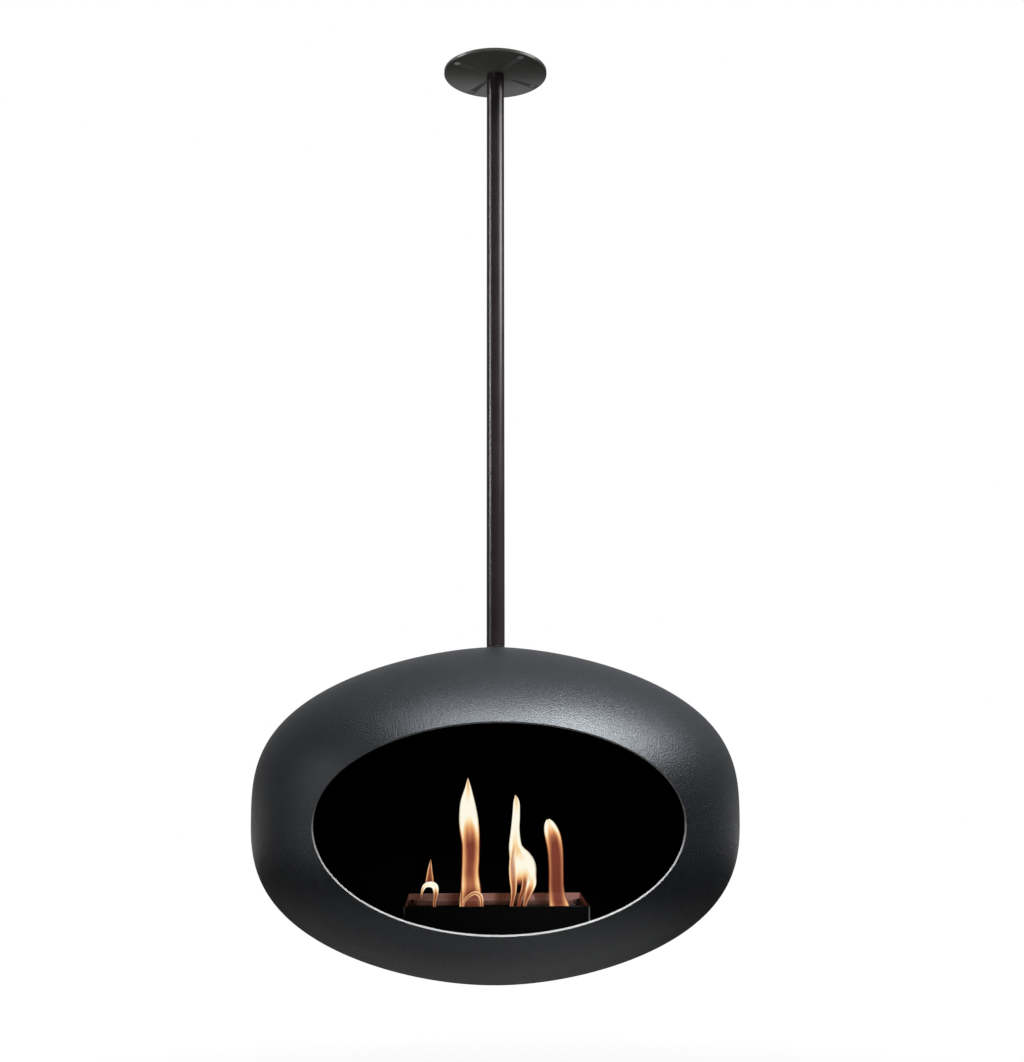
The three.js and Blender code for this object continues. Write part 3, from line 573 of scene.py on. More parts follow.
class Blank:
    """A mesh on its way to becoming a piece, shaped by bmesh operators."""

    def __init__(self) -> None:
        """Start with nothing."""
        self.bm: BMesh = bmesh.new()

    def _added(self, make: Callable[[], Any]) -> list[BMEdge]:
        """Return the edges that a call adds.

        Args:
            make: The call.

        Returns:
            The new edges.
        """
        before = set(self.bm.edges)
        make()
        return [edge for edge in self.bm.edges if edge not in before]

    def tidy(self) -> "Blank":
        """Merge doubles and point every face outwards."""
        bmesh.ops.remove_doubles(self.bm, verts=self.bm.verts, dist=WELD_DISTANCE)
        bmesh.ops.recalc_face_normals(self.bm, faces=self.bm.faces)
        return self

    def lathe(self, outline: Outline, steps: int = 64) -> "Blank":
        """Turn an outline about Z.

        Args:
            outline: Radius and height of each corner. One that leaves the axis at both ends
                is closed on the axis, and any other on itself.
            steps: Facets in the full turn.

        Returns:
            This blank.
        """
        verts = [self.bm.verts.new((radius, 0.0, height)) for radius, height in outline]
        pairs = list(zip(verts, verts[1:]))
        if outline[0][0] > 0:
            pairs.append((verts[-1], verts[0]))
        edges = [self.bm.edges.new(pair) for pair in pairs]
        bmesh.ops.spin(
            self.bm,
            geom=verts + edges,
            cent=(0, 0, 0),
            axis=(0, 0, 1),
            angle=math.tau,
            steps=steps,
            use_merge=True,
            use_duplicate=False,
        )
        return self.tidy()

    def loop(self, stage: "Stage") -> list[BMEdge]:
        """Lay out a rounded rectangle.

        Args:
            stage: The rectangle.

        Returns:
            Its edges.
        """

        def make() -> None:
            signs = ((-1, -1), (1, -1), (1, 1), (-1, 1))
            wide, deep = stage.half
            verts = [
                self.bm.verts.new((x * wide, stage.middle + y * deep, stage.height))
                for x, y in signs
            ]
            self.bm.faces.new(verts)
            made = bmesh.ops.bevel(
                self.bm,
                geom=verts,
                offset=stage.corner,
                offset_type="OFFSET",
                segments=6,
                profile=0.5,
                affect="VERTICES",
                material=-1,
            )
            faces = {face for vert in made["verts"] for face in vert.link_faces}
            bmesh.ops.delete(self.bm, geom=list(faces), context="FACES_ONLY")

        return self._added(make)

    def circle(self, x: float, y: float, height: float, radius: float, steps: int) -> list[BMEdge]:
        """Lay out a circle.

        Args:
            x: Its middle's X.
            y: Its middle's Y.
            height: Its Z.
            radius: Its radius.
            steps: Its number of corners.

        Returns:
            Its edges.
        """
        return self._added(
            lambda: bmesh.ops.create_circle(
                self.bm,
                cap_ends=False,
                segments=steps,
                radius=radius,
                matrix=Matrix.Translation((x, y, height)),
            )
        )

    def loft(self, stages: Sequence["Stage"], closed: bool) -> "Blank":
        """Extrude a rounded rectangle from stage to stage.

        Args:
            stages: The stages.
            closed: Join the last to the first, or else cap both ends.

        Returns:
            This blank.
        """
        first = edges = self.loop(stages[0])
        following = [*stages[1:], *stages[:1]] if closed else stages[1:]
        for last, stage in zip(stages, following):
            verts, edges = grown(self.bm, edges)
            for vert in verts:
                vert.co = stage.refit(vert.co, last)
        if not closed:
            for end in (first, edges):
                bmesh.ops.edgeloop_fill(self.bm, edges=end)
        return self.tidy()

    def _pulled(self, faces: list[BMFace], way: Triple) -> None:
        """Extrude faces.

        Args:
            faces: The faces.
            way: How far and which way.
        """
        made = bmesh.ops.extrude_face_region(self.bm, geom=faces)
        verts = [item for item in made["geom"] if isinstance(item, BMVert)]
        bmesh.ops.translate(self.bm, verts=verts, vec=way)

    def sheet(self, edges: list[BMEdge], thickness: float) -> "Blank":
        """Fill an outline and its holes, and give the sheet its thickness upwards.

        Args:
            edges: The edges of the outline and of its holes.
            thickness: The thickness.

        Returns:
            This blank.
        """
        bmesh.ops.triangle_fill(self.bm, use_beauty=True, use_dissolve=False, edges=edges)
        self._pulled(self.bm.faces[:], (0, 0, thickness))
        flat = {"verts": self.bm.verts, "edges": self.bm.edges}
        bmesh.ops.dissolve_limit(self.bm, angle_limit=math.radians(1), **flat)
        return self.tidy()

    def bar(self, section: Outline, start: float, end: float) -> "Blank":
        """Pull a section in X and Z along Y.

        Args:
            section: The X and Z of each corner.
            start: The Y that it starts at.
            end: The Y that it ends at.

        Returns:
            This blank.
        """
        face = self.bm.faces.new([self.bm.verts.new((x, start, z)) for x, z in section])
        self._pulled([face], (0, end - start, 0))
        return self.tidy()

    def prism(self, sides: int, radius: float, depth: float, matrix: Matrix) -> "Blank":
        """Add a straight bar about the matrix's own Z.

        Args:
            sides: Its number of sides.
            radius: Its radius.
            depth: Its length.
            matrix: Where its middle is, and how it is turned.

        Returns:
            This blank.
        """
        bmesh.ops.create_cone(
            self.bm,
            cap_ends=True,
            segments=sides,
            radius1=radius,
            radius2=radius,
            depth=depth,
            matrix=matrix,
        )
        return self

    def block(self, size: Triple, matrix: Matrix) -> "Blank":
        """Add a block of this size."""
        bmesh.ops.create_cube(self.bm, size=1.0, matrix=matrix @ Matrix.Diagonal((*size, 1.0)))
        return self

    def moved(self, x: float, y: float, z: float) -> "Blank":
        """Move everything so far."""
        bmesh.ops.translate(self.bm, verts=self.bm.verts, vec=(x, y, z))
        return self

    def piece(self, name: str, body: Body, *finishes: Finish, crease: float = 35.0) -> "Piece":
        """Turn the blank into a piece.

        Args:
            name: The piece's name.
            body: The body that it rides on.
            finishes: Its finishes, in the order of its faces' material numbers.
            crease: The angle in degrees past which an edge stays sharp.

        Returns:
            The piece.
        """
        mesh = bpy.data.meshes.new(name)
        self.bm.to_mesh(mesh)
        self.bm.free()
        mesh.shade_smooth()
        mesh.set_sharp_from_angle(angle=math.radians(crease))
        for finish in finishes:
            mesh.materials.append(finish.material())
        made = bpy.data.objects.new(name, mesh)
        bpy.context.scene.collection.objects.link(made)
        return Piece(made, body)


class Piece:
    """A finished mesh object and the body that it rides on."""

    def __init__(self, made: bpy.types.Object, body: Body) -> None:
        """Take a mesh object.

        Args:
            made: The object.
            body: The body that it rides on.
        """
        self.object = made
        self.body = body

    def modifier(self, kind: str, **settings: Any) -> "Piece":
        """Add a modifier.

        Args:
            kind: Its type.
            settings: Its settings.

        Returns:
            This piece.
        """
        added = self.object.modifiers.new(kind.lower(), kind)
        for name, setting in settings.items():
            setattr(added, name, setting)
        return self

    def eased(self, width: float, segments: int = 2, angle: float = 40.0) -> "Piece":
        """Round the sharp edges over.

        Args:
            width: The rounding's width.
            segments: Its number of steps.
            angle: The angle in degrees past which an edge is rounded.

        Returns:
            This piece.
        """
        return self.modifier(
            "BEVEL",
            width=width,
            segments=segments,
            limit_method="ANGLE",
            angle_limit=math.radians(angle),
            harden_normals=True,
        )

    def drilled(self, *cutters: Blank) -> "Piece":
        """Cut blanks out of the piece and leave the result as its mesh.

        Args:
            cutters: The blanks to cut out.

        Returns:
            This piece.
        """
        tools = [cutter.tidy().piece("tool", self.body).object for cutter in cutters]
        for tool in tools:
            self.modifier("BOOLEAN", operation="DIFFERENCE", solver="EXACT", object=tool)
        self.settle()
        for tool in tools:
            bpy.data.meshes.remove(tool.data)
        return self

    def settle(self, crease: float = 35.0) -> "Piece":
        """Apply every modifier.

        Args:
            crease: The angle in degrees past which an edge stays sharp.

        Returns:
            This piece.
        """
        graph = bpy.context.evaluated_depsgraph_get()
        mesh = bpy.data.meshes.new_from_object(self.object.evaluated_get(graph))
        self.object.modifiers.clear()
        self.object.data = mesh
        mesh.shade_smooth()
        mesh.set_sharp_from_angle(angle=math.radians(crease))
        return self

    def done(self, slot: str, *stands_for: str) -> bpy.types.Object:
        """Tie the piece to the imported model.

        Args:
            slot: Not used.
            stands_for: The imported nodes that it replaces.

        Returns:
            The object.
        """
        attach(self.object, self.body.value)
        if stands_for:
            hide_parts(*stands_for)
        LOG.info("built %s on %s", self.object.name, self.body.value)
        return self.object


def refinish(finish: Finish, nodes: Iterable[str]) -> None:
    """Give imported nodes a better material.

    Args:
        finish: The finish.
        nodes: The nodes' names.
    """
    for name in nodes:
        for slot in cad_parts[name].material_slots:
            slot.material = finish.material()
        LOG.info("refinished %s as %s", name, finish.name)


# ------------------------------------------------------------------ dome


@dataclass
class Dome:
    """The spun dome, a body of revolution |r/R|^a + |z/H|^b = 1 with an elliptical mouth."""

    radius: float = 0.350
    half_height: float = 0.238
    crown_power: float = 1.614
    side_power: float = 2.767
    sheet: float = 0.003
    mouth_half_width: float = 0.2384
    mouth_half_height: float = 0.1304
    crown_hole: float = 0.0123
    turns: int = 224
    rings: int = 104

    def height_at(self, radius: float) -> float:
        """Return the outline's height over the middle at a radius."""
        rest = 1 - (radius / self.radius) ** self.crown_power
        return self.half_height * max(rest, 0.0) ** (1 / self.side_power)

    def on_skin(self, direction: Vector) -> Vector:
        """Return where a ray from the dome's middle meets its outer face.

        Args:
            direction: The ray's direction, of any length.

        Returns:
            The point, from the dome's middle.
        """
        out = math.hypot(direction.x, direction.y) / self.radius
        up = abs(direction.z) / self.half_height
        reach = 1 / max(out, up)
        for _ in range(12):
            outward = (reach * out) ** self.crown_power
            upward = (reach * up) ** self.side_power
            slope = (self.crown_power * outward + self.side_power * upward) / reach
            reach -= (outward + upward - 1) / slope
        return direction * reach

    def _start(self, vert: BMVert) -> Vector:
        """Return the place on the mouth's edge of a corner of the unit circle.

        Args:
            vert: The corner.

        Returns:
            The place, from the dome's middle.
        """
        x = self.mouth_half_width * vert.co.x
        z = self.mouth_half_height * vert.co.y
        rest = 1 - (abs(z) / self.half_height) ** self.side_power
        radius = self.radius * rest ** (1 / self.crown_power)
        return Vector((x, -math.sqrt(radius**2 - x**2), z))

    def _next(self, point: Vector, done: float, share: float) -> Vector:
        """Return the next place on the way from the mouth's edge to the dome's back.

        Args:
            point: The last place.
            done: The share of the way that it has come.
            share: The share of the way to come to.

        Returns:
            The place, from the dome's middle.
        """
        side = math.hypot(point.x, point.z)
        turned = math.atan2(side, -point.y)
        first = (turned - math.pi * done) / (1 - done)
        turn = first + share * (math.pi - first)
        out = math.sin(turn) / side
        return self.on_skin(Vector((point.x * out, -math.cos(turn), point.z * out)))

    def skin(self) -> Blank:
        """Lay out the dome's outer face.

        Returns:
            The face, open at the mouth.
        """
        blank = Blank()
        bm = blank.bm
        made = bmesh.ops.create_circle(bm, cap_ends=False, segments=self.turns, radius=1.0)
        for vert in made["verts"]:
            vert.co = self._start(vert)
        edges = bm.edges[:]
        for ring in range(1, self.rings + 1):
            verts, edges = grown(bm, edges)
            if ring < self.rings:
                for vert in verts:
                    done = (ring - 1) / self.rings
                    vert.co = self._next(vert.co, done, ring / self.rings)
        back = Vector((0.0, self.radius, 0.0))
        bmesh.ops.pointmerge(bm, verts=list(verts), merge_co=back)
        bmesh.ops.recalc_face_normals(bm, faces=bm.faces)
        bm.faces.ensure_lookup_table()
        if bm.faces[0].normal.dot(bm.faces[0].calc_center_median()) < 0:
            bmesh.ops.reverse_faces(bm, faces=bm.faces)
        return blank.moved(0, 0, DOME_CENTRE)

    def build(self) -> None:
        """Build the shell with its three finishes: outside, inside and the ground edge."""
        shell = self.skin().piece("dome_shell", Body.DOME, DOME_COAT, STOVE_COAT, GROUND_EDGE)
        shell.modifier(
            "SOLIDIFY",
            thickness=self.sheet,
            offset=-1.0,
            use_even_offset=True,
            material_offset=1,
            material_offset_rim=2,
        )
        crown = Matrix.Translation((0, 0, DOME_CENTRE + self.half_height))
        shell.drilled(Blank().prism(64, self.crown_hole, 0.03, crown))
        shell.eased(0.00035, 2, 60)
        shell.done("dome_powder_black", "upper_shell", "lower_shell")


# ------------------------------------------------------------------ hanger


@dataclass
class CeilingFixing:
    """The round plate and its four countersunk wood screws."""

    radius: float = 0.080
    thickness: float = 0.005
    edge: float = 0.0008
    screw_reach: float = 0.070
    screw_angle: float = 32.0
    head_radius: float = 0.0046
    head_depth: float = 0.0026
    shank_radius: float = 0.0024
    gap: float = FIT_GAP
    head_edge: float = 0.0002
    head_rim: float = 0.0004
    cross: Triple = (0.0048, 0.0009, 0.0028)
    overcut: float = 0.002

    def places(self) -> list[Pair]:
        """Work out where the screws stand.

        Returns:
            Each screw's X and Y.
        """
        angles = [math.radians(self.screw_angle + 90 * turn) for turn in range(4)]
        reach = self.screw_reach
        return [(reach * math.cos(angle), reach * math.sin(angle)) for angle in angles]

    def plate(self) -> None:
        """Build the plate."""
        low, edge, out, over = -self.thickness, self.edge, self.radius, self.overcut
        outline = [(0.0, low), (out - edge, low), (out - 0.3 * edge, low + 0.3 * edge)]
        outline += [(out, low + edge), (out, 0.0), (0.0, 0.0)]
        wide, narrow = self.head_radius + self.gap, self.shank_radius + self.gap
        sink = [(0.0, low - over), (wide, low - over), (wide, low + self.head_rim)]
        sink += [(narrow, low + self.head_depth), (narrow, over), (0.0, over)]
        holes = [Blank().lathe(sink, 32).moved(x, y, 0) for x, y in self.places()]
        made = Blank().lathe(outline, 128).piece("plate_disc", Body.HANGER, PLATE_PAINT)
        made.drilled(*holes).done("plate_satin_black", "ceiling_plate")

    def screws(self) -> None:
        """Build the screws, each with a cross recess."""
        head, low = self.head_radius, -self.thickness
        edge, (wide, narrow, deep) = self.head_edge, self.cross
        outline = [(0.0, low), (head - edge, low), (head, low + edge), (head, low + self.head_rim)]
        outline += [
            (self.shank_radius, low + self.head_depth),
            (self.shank_radius, low + self.thickness - self.gap),
            (0.0, low + self.thickness - self.gap),
        ]
        for number, (x, y) in enumerate(self.places(), 1):
            turn = Matrix.Translation((x, y, low)) @ Matrix.Rotation(0.5 * number, 4, "Z")
            cross = [(wide, narrow, deep), (narrow, wide, deep)]
            made = Blank().lathe(outline, 40).moved(x, y, 0)
            screw = made.piece(f"plate_screw_{number}", Body.HANGER, ZINC)
            screw.drilled(*(Blank().block(size, turn) for size in cross))
            screw.done("zinc_steel", f"ceiling_screw_{number}")

    def build(self) -> None:
        """Build the plate and its screws, and dress the spigot inside the tube."""
        self.plate()
        self.screws()
        refinish(RAW_STEEL, ["ceiling_spigot"])


@dataclass
class HangingTube:
    """The tube from the plate to the crown, with its cross holes and the washer under it."""

    radius: float = 0.01345
    wall: float = 0.0026
    top: float = -0.0053
    foot: float = -0.8953
    end_break: float = 0.0006
    pin_rise: float = 0.018
    pin_hole: float = 0.0023
    set_screw_drops: Pair = (0.014, 0.034)
    set_screw_hole: float = 0.0033
    plate_thickness: float = 0.005
    washer_bore: float = 0.0082
    washer_levels: Pair = (-0.8971, -0.8956)

    def cross_hole(self, height: float, radius: float, turn: str, reach: float) -> Blank:
        """Return a cutter across the tube's wall.

        Args:
            height: Its Z.
            radius: Its radius.
            turn: "X" for along X, through both walls, or "Y" for the rear wall alone.
            reach: Its length.

        Returns:
            The cutter.
        """
        middle = 0.0 if turn == "X" else self.radius
        lay = Matrix.Rotation(math.pi / 2, 4, "Y" if turn == "X" else "X")
        place = Matrix.Translation((0.0, middle, height)) @ lay
        return Blank().prism(32, radius, reach, place)

    def build(self) -> None:
        """Build the tube and the crown washer, and dress what shows in the cross holes."""
        bore, out, ease = self.radius - self.wall, self.radius, self.end_break
        outline = [(bore, self.foot), (out - ease, self.foot), (out, self.foot + ease)]
        outline += [(out, self.top - ease), (out - ease, self.top), (bore, self.top)]
        holes = [self.cross_hole(self.foot + self.pin_rise, self.pin_hole, "X", 0.04)]
        for drop in self.set_screw_drops:
            height = -self.plate_thickness - drop
            holes.append(self.cross_hole(height, self.set_screw_hole, "Y", 0.014))
        tube = Blank().lathe(outline, 96).piece("tube", Body.HANGER, TUBE_PAINT)
        tube.drilled(*holes).done("tube_satin_black", "hanging_rod")
        inner, (low, high) = self.washer_bore, self.washer_levels
        ring = Blank().lathe([(inner, low), (out, low), (out, high), (inner, high)], 96)
        ring.piece("crown_ring", Body.DOME, NYLON).eased(0.0002).done("black_nylon", "crown_washer")
        refinish(ZINC, ["rod_set_screw_1", "rod_set_screw_2", "lock_pin"])
        refinish(RAW_STEEL, ["rod_foot_plug"])


@dataclass
class Swivel:
    """The bolt that carries the dome, with its washers, bush and reinforcing plate."""

    bolt_radius: float = 0.008
    bolt_top: float = -0.8613
    head_top: float = -0.9189
    head_bottom: float = -0.9289
    head_flats: float = 0.024
    bush_bore: float = 0.0082
    bush_radius: float = 0.012
    flange_radius: float = 0.017
    plate_radius: float = 0.070
    boss_radius: float = 0.026
    boss_level: float = -0.9087
    bush_levels: Triple = (-0.912, -0.909, -0.8974)
    load_washer: Pair = (0.019, 0.004)
    load_washer_top: float = -0.9146
    slip_washer_thickness: float = 0.002
    slip_washer_top: float = -0.9123
    dish_gap: float = 0.0006
    dish_thickness: float = 0.0034

    def ring(self, name: str, finish: Finish, body: Body, sizes: Triple, top: float) -> Piece:
        """Build a flat washer.

        Args:
            name: Its name.
            finish: Its finish.
            body: The body that it rides on.
            sizes: Bore radius, outer radius and thickness.
            top: The Z of its upper face.

        Returns:
            The washer.
        """
        bore, radius, thick = sizes
        outline = [(bore, top - thick), (radius, top - thick), (radius, top), (bore, top)]
        return Blank().lathe(outline, 72).piece(name, body, finish).eased(EDGE_BREAK)

    def build(self, dome: Dome) -> None:
        """Build the swivel.

        Args:
            dome: The dome that it hangs from.
        """
        corner = self.head_flats / math.sqrt(3)
        middle = Matrix.Translation((0, 0, (self.head_top + self.head_bottom) / 2))
        head = Blank().prism(6, corner, self.head_top - self.head_bottom, middle)
        out, top, sunk = self.bolt_radius, self.bolt_top, self.head_top - 0.002
        shank = [(0.0, sunk), (out, sunk), (out, top - 0.0015), (0.0065, top), (0.0, top)]
        bolt = head.lathe(shank, 48).piece("carrier_bolt", Body.HANGER, ZINC).eased(0.0007)
        bolt.done("zinc_steel", "swivel_bolt")
        bore, wide = self.bolt_radius + FIT_GAP, self.flange_radius
        sizes = (bore, *self.load_washer)
        spread = self.ring("spread_washer", ZINC, Body.HANGER, sizes, self.load_washer_top)
        spread.done("zinc_steel", "load_washer")
        sizes = (bore, wide, self.slip_washer_thickness)
        slip = self.ring("slip_washer", BRONZE, Body.HANGER, sizes, self.slip_washer_top)
        slip.done("bronze", "thrust_washer")
        inner, body, (low, step, high) = self.bush_bore, self.bush_radius, self.bush_levels
        flange = [(inner, low), (wide, low), (wide, step), (body, step), (body, high), (inner, high)]
        bush = Blank().lathe(flange, 72).piece("crown_bush", Body.DOME, BRONZE).eased(EDGE_BREAK)
        bush.done("bronze", "hub_bush")
        self.reinforcement(dome)

    def reinforcement(self, dome: Dome) -> None:
        """Build the dished plate under the crown.

        Args:
            dome: The dome that it lines.
        """
        inner, steps = self.bush_radius + FIT_GAP, 9
        radii = [inner + (self.plate_radius - inner) * step / steps for step in range(steps + 1)]
        over = [(r, DOME_CENTRE + dome.height_at(r) - dome.sheet - self.dish_gap) for r in radii]
        under = [(r, z - self.dish_thickness) for r, z in over if r > self.boss_radius + 0.003]
        boss = [(self.boss_radius, self.boss_level), (inner, self.boss_level)]
        dish = Blank().lathe([*over, *reversed(under), *boss], 96)
        dish.piece("crown_dish", Body.DOME, RAW_STEEL).eased(0.0004).done("raw_steel", "hub_plate")


# ------------------------------------------------------------------ burner


@dataclass
class BurnerHousing:
    """The folded box in the dome's floor that the burner drops into."""

    half: Pair = (0.130, 0.075)
    bottom: float = -1.34088
    top: float = -1.26038
    sheet: float = 0.002
    corner: float = 0.004
    ledge_top: float = -1.27548
    ledge: float = 0.008
    foot: float = 0.018

    def build(self) -> None:
        """Build the box, and dress its cradle."""
        blank = Blank()
        inner = (self.half[0] - self.sheet, self.half[1] - self.sheet)
        ledge = (inner[0] - self.ledge, inner[1] - self.ledge)
        foot = (inner[0] - self.foot, inner[1] - self.foot)
        small = self.corner - self.sheet
        under = self.ledge_top - self.sheet
        stages = [
            (self.half, self.corner, self.bottom),
            (self.half, self.corner, self.top),
            (inner, small, self.top),
            (inner, small, self.ledge_top),
            (ledge, small, self.ledge_top),
            (ledge, small, under),
            (inner, small, under),
            (inner, small, self.bottom + self.sheet),
            (foot, small, self.bottom + self.sheet),
            (foot, small, self.bottom),
        ]
        blank.loft([Stage(*stage) for stage in stages], closed=True)
        for face in blank.bm.faces:
            middle = face.calc_center_median()
            inside = abs(middle.x) < inner[0] + 1e-4 and abs(middle.y) < inner[1] + 1e-4
            # The inner walls above the ledge take the warm second finish, painted light of the flames
            # on them.
            if inside and middle.z > self.ledge_top and abs(face.normal.z) < 0.5:
                face.material_index = 1
            # The rounded front corners take the near-white third finish, a painted highlight of the
            # light that the folds catch.
            turned = math.degrees(math.atan2(abs(face.normal.x), -face.normal.y))
            if not inside and abs(turned - 45) < 16 and face.normal.y < 0:
                face.material_index = 2
        box = blank.piece("burner_box", Body.DOME, BURNER_PAINT, FLAME_GLOW_WALL, HIGHLIGHT_CORNER)
        box.eased(0.0004).done("burner_black", "burner_housing")
        refinish(RAW_STEEL, ["cradle_rib_front", "cradle_rib_rear", "cradle_plate"])
        refinish(ZINC, [f"housing_screw_{number}" for number in range(1, 5)])


@dataclass
class BurnerInsert:
    """The tank with its wool and screen, under the slotted plate with the lid's rails."""

    flange_half: Pair = (0.126, 0.071)
    tank_half: Pair = (0.116, 0.061)
    tank_top: float = -1.27368
    tank_bottom: float = -1.33078
    tank_sheet: float = 0.0015
    plate_half: Pair = (0.1274, 0.0724)
    plate_top: float = -1.27138
    plate_sheet: float = 0.002
    slot_half: Pair = (0.112, 0.016)
    collar: float = 0.0012
    collar_bottom: float = -1.28538
    wick_half: Pair = (0.1139, 0.0589)
    screen_bottom: float = -1.29338
    hole_radius: float = 0.0045
    hole_pitch: float = 0.020
    rail_span: Pair = (-0.038, 0.052)
    rail_edges: Triple = (0.115, 0.1175, 0.1268)
    rail_levels: Triple = (-1.27108, -1.26858, -1.26708)
    pan_x: float = 0.12215
    pan_y: Pair = (-0.026, 0.040)
    pan_levels: Pair = (-1.26678, -1.26518)

    def tank(self) -> None:
        """Build the pressed tank with its flange."""
        blank, sheet = Blank(), self.tank_sheet
        inside = (self.tank_half[0] - sheet, self.tank_half[1] - sheet)
        stages = [
            (self.tank_half, 0.012, self.tank_bottom),
            (self.tank_half, 0.012, self.tank_top - sheet),
            (self.flange_half, 0.003, self.tank_top - sheet),
            (self.flange_half, 0.003, self.tank_top),
            (inside, 0.0105, self.tank_top),
            (inside, 0.0105, self.tank_bottom + sheet),
        ]
        blank.loft([Stage(*stage) for stage in stages], closed=False)
        tank = blank.piece("tank", Body.BURNER, STAINLESS).eased(0.0004)
        tank.done("stainless", "fuel_tank")

    def wick(self) -> None:
        """Build the wool and the perforated screen over it."""
        blank = Blank()
        low = self.tank_bottom + self.tank_sheet + FIT_GAP
        high = self.screen_bottom - FIT_GAP
        half = (self.wick_half[0] - 0.0006, self.wick_half[1] - 0.0006)
        levels = [low + (high - low) * share for share in (0.04, 0.2, 0.5, 0.8, 0.96)]
        pull = [0.0016, 0.0002, 0.0006, 0.0002, 0.0016]
        stages = [
            Stage((half[0] - inset, half[1] - inset), 0.0105, level)
            for level, inset in zip(levels, pull)
        ]
        blank.loft(stages, closed=False)
        seeded = random.Random(7)
        for vert in blank.bm.verts:
            vert.co.z += seeded.uniform(-0.0005, 0.0005)
        wool = blank.piece("wool", Body.BURNER, WOOL, crease=80).eased(0.0012, 3)
        wool.done("wool_white", "wick_pad")
        screen = Blank()
        edges = screen.loop(Stage(self.wick_half, 0.0105, self.screen_bottom))
        for row in range(3):
            for column in range(11):
                x = (column - 5) * self.hole_pitch
                y = SLOT_Y + (row - 1) * self.hole_pitch
                edges += screen.circle(x, y, self.screen_bottom, self.hole_radius, 16)
        mesh = screen.sheet(edges, 0.0012).piece("screen", Body.BURNER, STAINLESS)
        mesh.done("stainless", "wick_screen")

    def plate(self) -> None:
        """Build the slotted plate with the collar under its slot."""
        blank, low = Blank(), self.plate_top - self.plate_sheet
        collar = (self.slot_half[0] + self.collar, self.slot_half[1] + self.collar)
        stages = [
            (self.plate_half, 0.002, low),
            (self.plate_half, 0.002, self.plate_top),
            (self.slot_half, 0.0158, self.plate_top, SLOT_Y),
            (self.slot_half, 0.0158, self.collar_bottom, SLOT_Y),
            (collar, 0.017, self.collar_bottom, SLOT_Y),
            (collar, 0.017, low, SLOT_Y),
        ]
        blank.loft([Stage(*stage) for stage in stages], closed=True)
        plate = blank.piece("slotted_plate", Body.BURNER, BURNER_PAINT).eased(EDGE_BREAK)
        plate.done("burner_black", "top_plate")

    def rails(self) -> None:
        """Build the lid's rails and their screws."""
        lip, inner, outer = self.rail_edges
        low, under, top = self.rail_levels
        section = [(inner, low), (outer, low), (outer, top), (lip, top), (lip, under), (inner, under)]
        for side, name in ((-1, "left"), (1, "right")):
            bar = Blank().bar([(side * x, z) for x, z in section], *self.rail_span)
            rail = bar.piece(f"rail_{name}", Body.BURNER, BURNER_PAINT).eased(EDGE_BREAK)
            rail.done("burner_black", f"lid_rail_{name}")
        places = [(x, y) for x in (-self.pan_x, self.pan_x) for y in self.pan_y]
        foot, crown = self.pan_levels
        head = [(0.0, 0.0), (0.0027, 0.0), (0.0027, 0.0008)]
        head += [(0.0024, 0.0013), (0.0012, 0.0016), (0.0, 0.0016)]
        for number, (x, y) in enumerate(places, 1):
            made = Blank().lathe(head, 32).moved(x, y, foot)
            screw = made.piece(f"rail_pan_screw_{number}", Body.BURNER, BURNER_PAINT)
            turn = Matrix.Translation((x, y, crown)) @ Matrix.Rotation(0.7 * number, 4, "Z")
            screw.drilled(Blank().block((0.008, 0.0007, 0.0016), turn))
            screw.done("burner_black", f"rail_screw_{number}")

    def build(self) -> None:
        """Build the whole insert."""
        self.tank()
        self.wick()
        self.plate()
        self.rails()


@dataclass
class SlotLid:
    """The flat lid that slides over the flame slot."""

    half: Pair = (0.117, 0.020)
    middle: float = 0.026
    bottom: float = -1.27108
    sheet: float = 0.002
    hook_place: float = 0.095
    hook_radius: float = 0.005

    def build(self) -> None:
        """Build the lid with its hook hole."""
        blank = Blank()
        edges = blank.loop(Stage(self.half, 0.003, self.bottom, self.middle))
        edges += blank.circle(self.hook_place, self.middle, self.bottom, self.hook_radius, 32)
        lid = blank.sheet(edges, self.sheet).piece("sliding_lid", Body.LID, BURNER_PAINT)
        lid.eased(EDGE_BREAK).done("burner_black", "slot_lid")


# ------------------------------------------------------------------ flames


@dataclass(frozen=True)
class Station:
    """One cross-section of a tongue of flame, in millimetres.

    Args:
        x: Where its middle is.
        z: Its height above the slotted plate.
        half: Half its width.
        heat: How pale its middle burns, from 0 to 1.
        density: How little shows through it, from 0 to 1.
    """

    x: float
    z: float
    half: float
    heat: float = 0.0
    density: float = 1.0

    def values(self) -> tuple[float, ...]:
        """Return the numbers that are blended between stations."""
        return (self.x, self.z, self.half, self.heat, self.density)


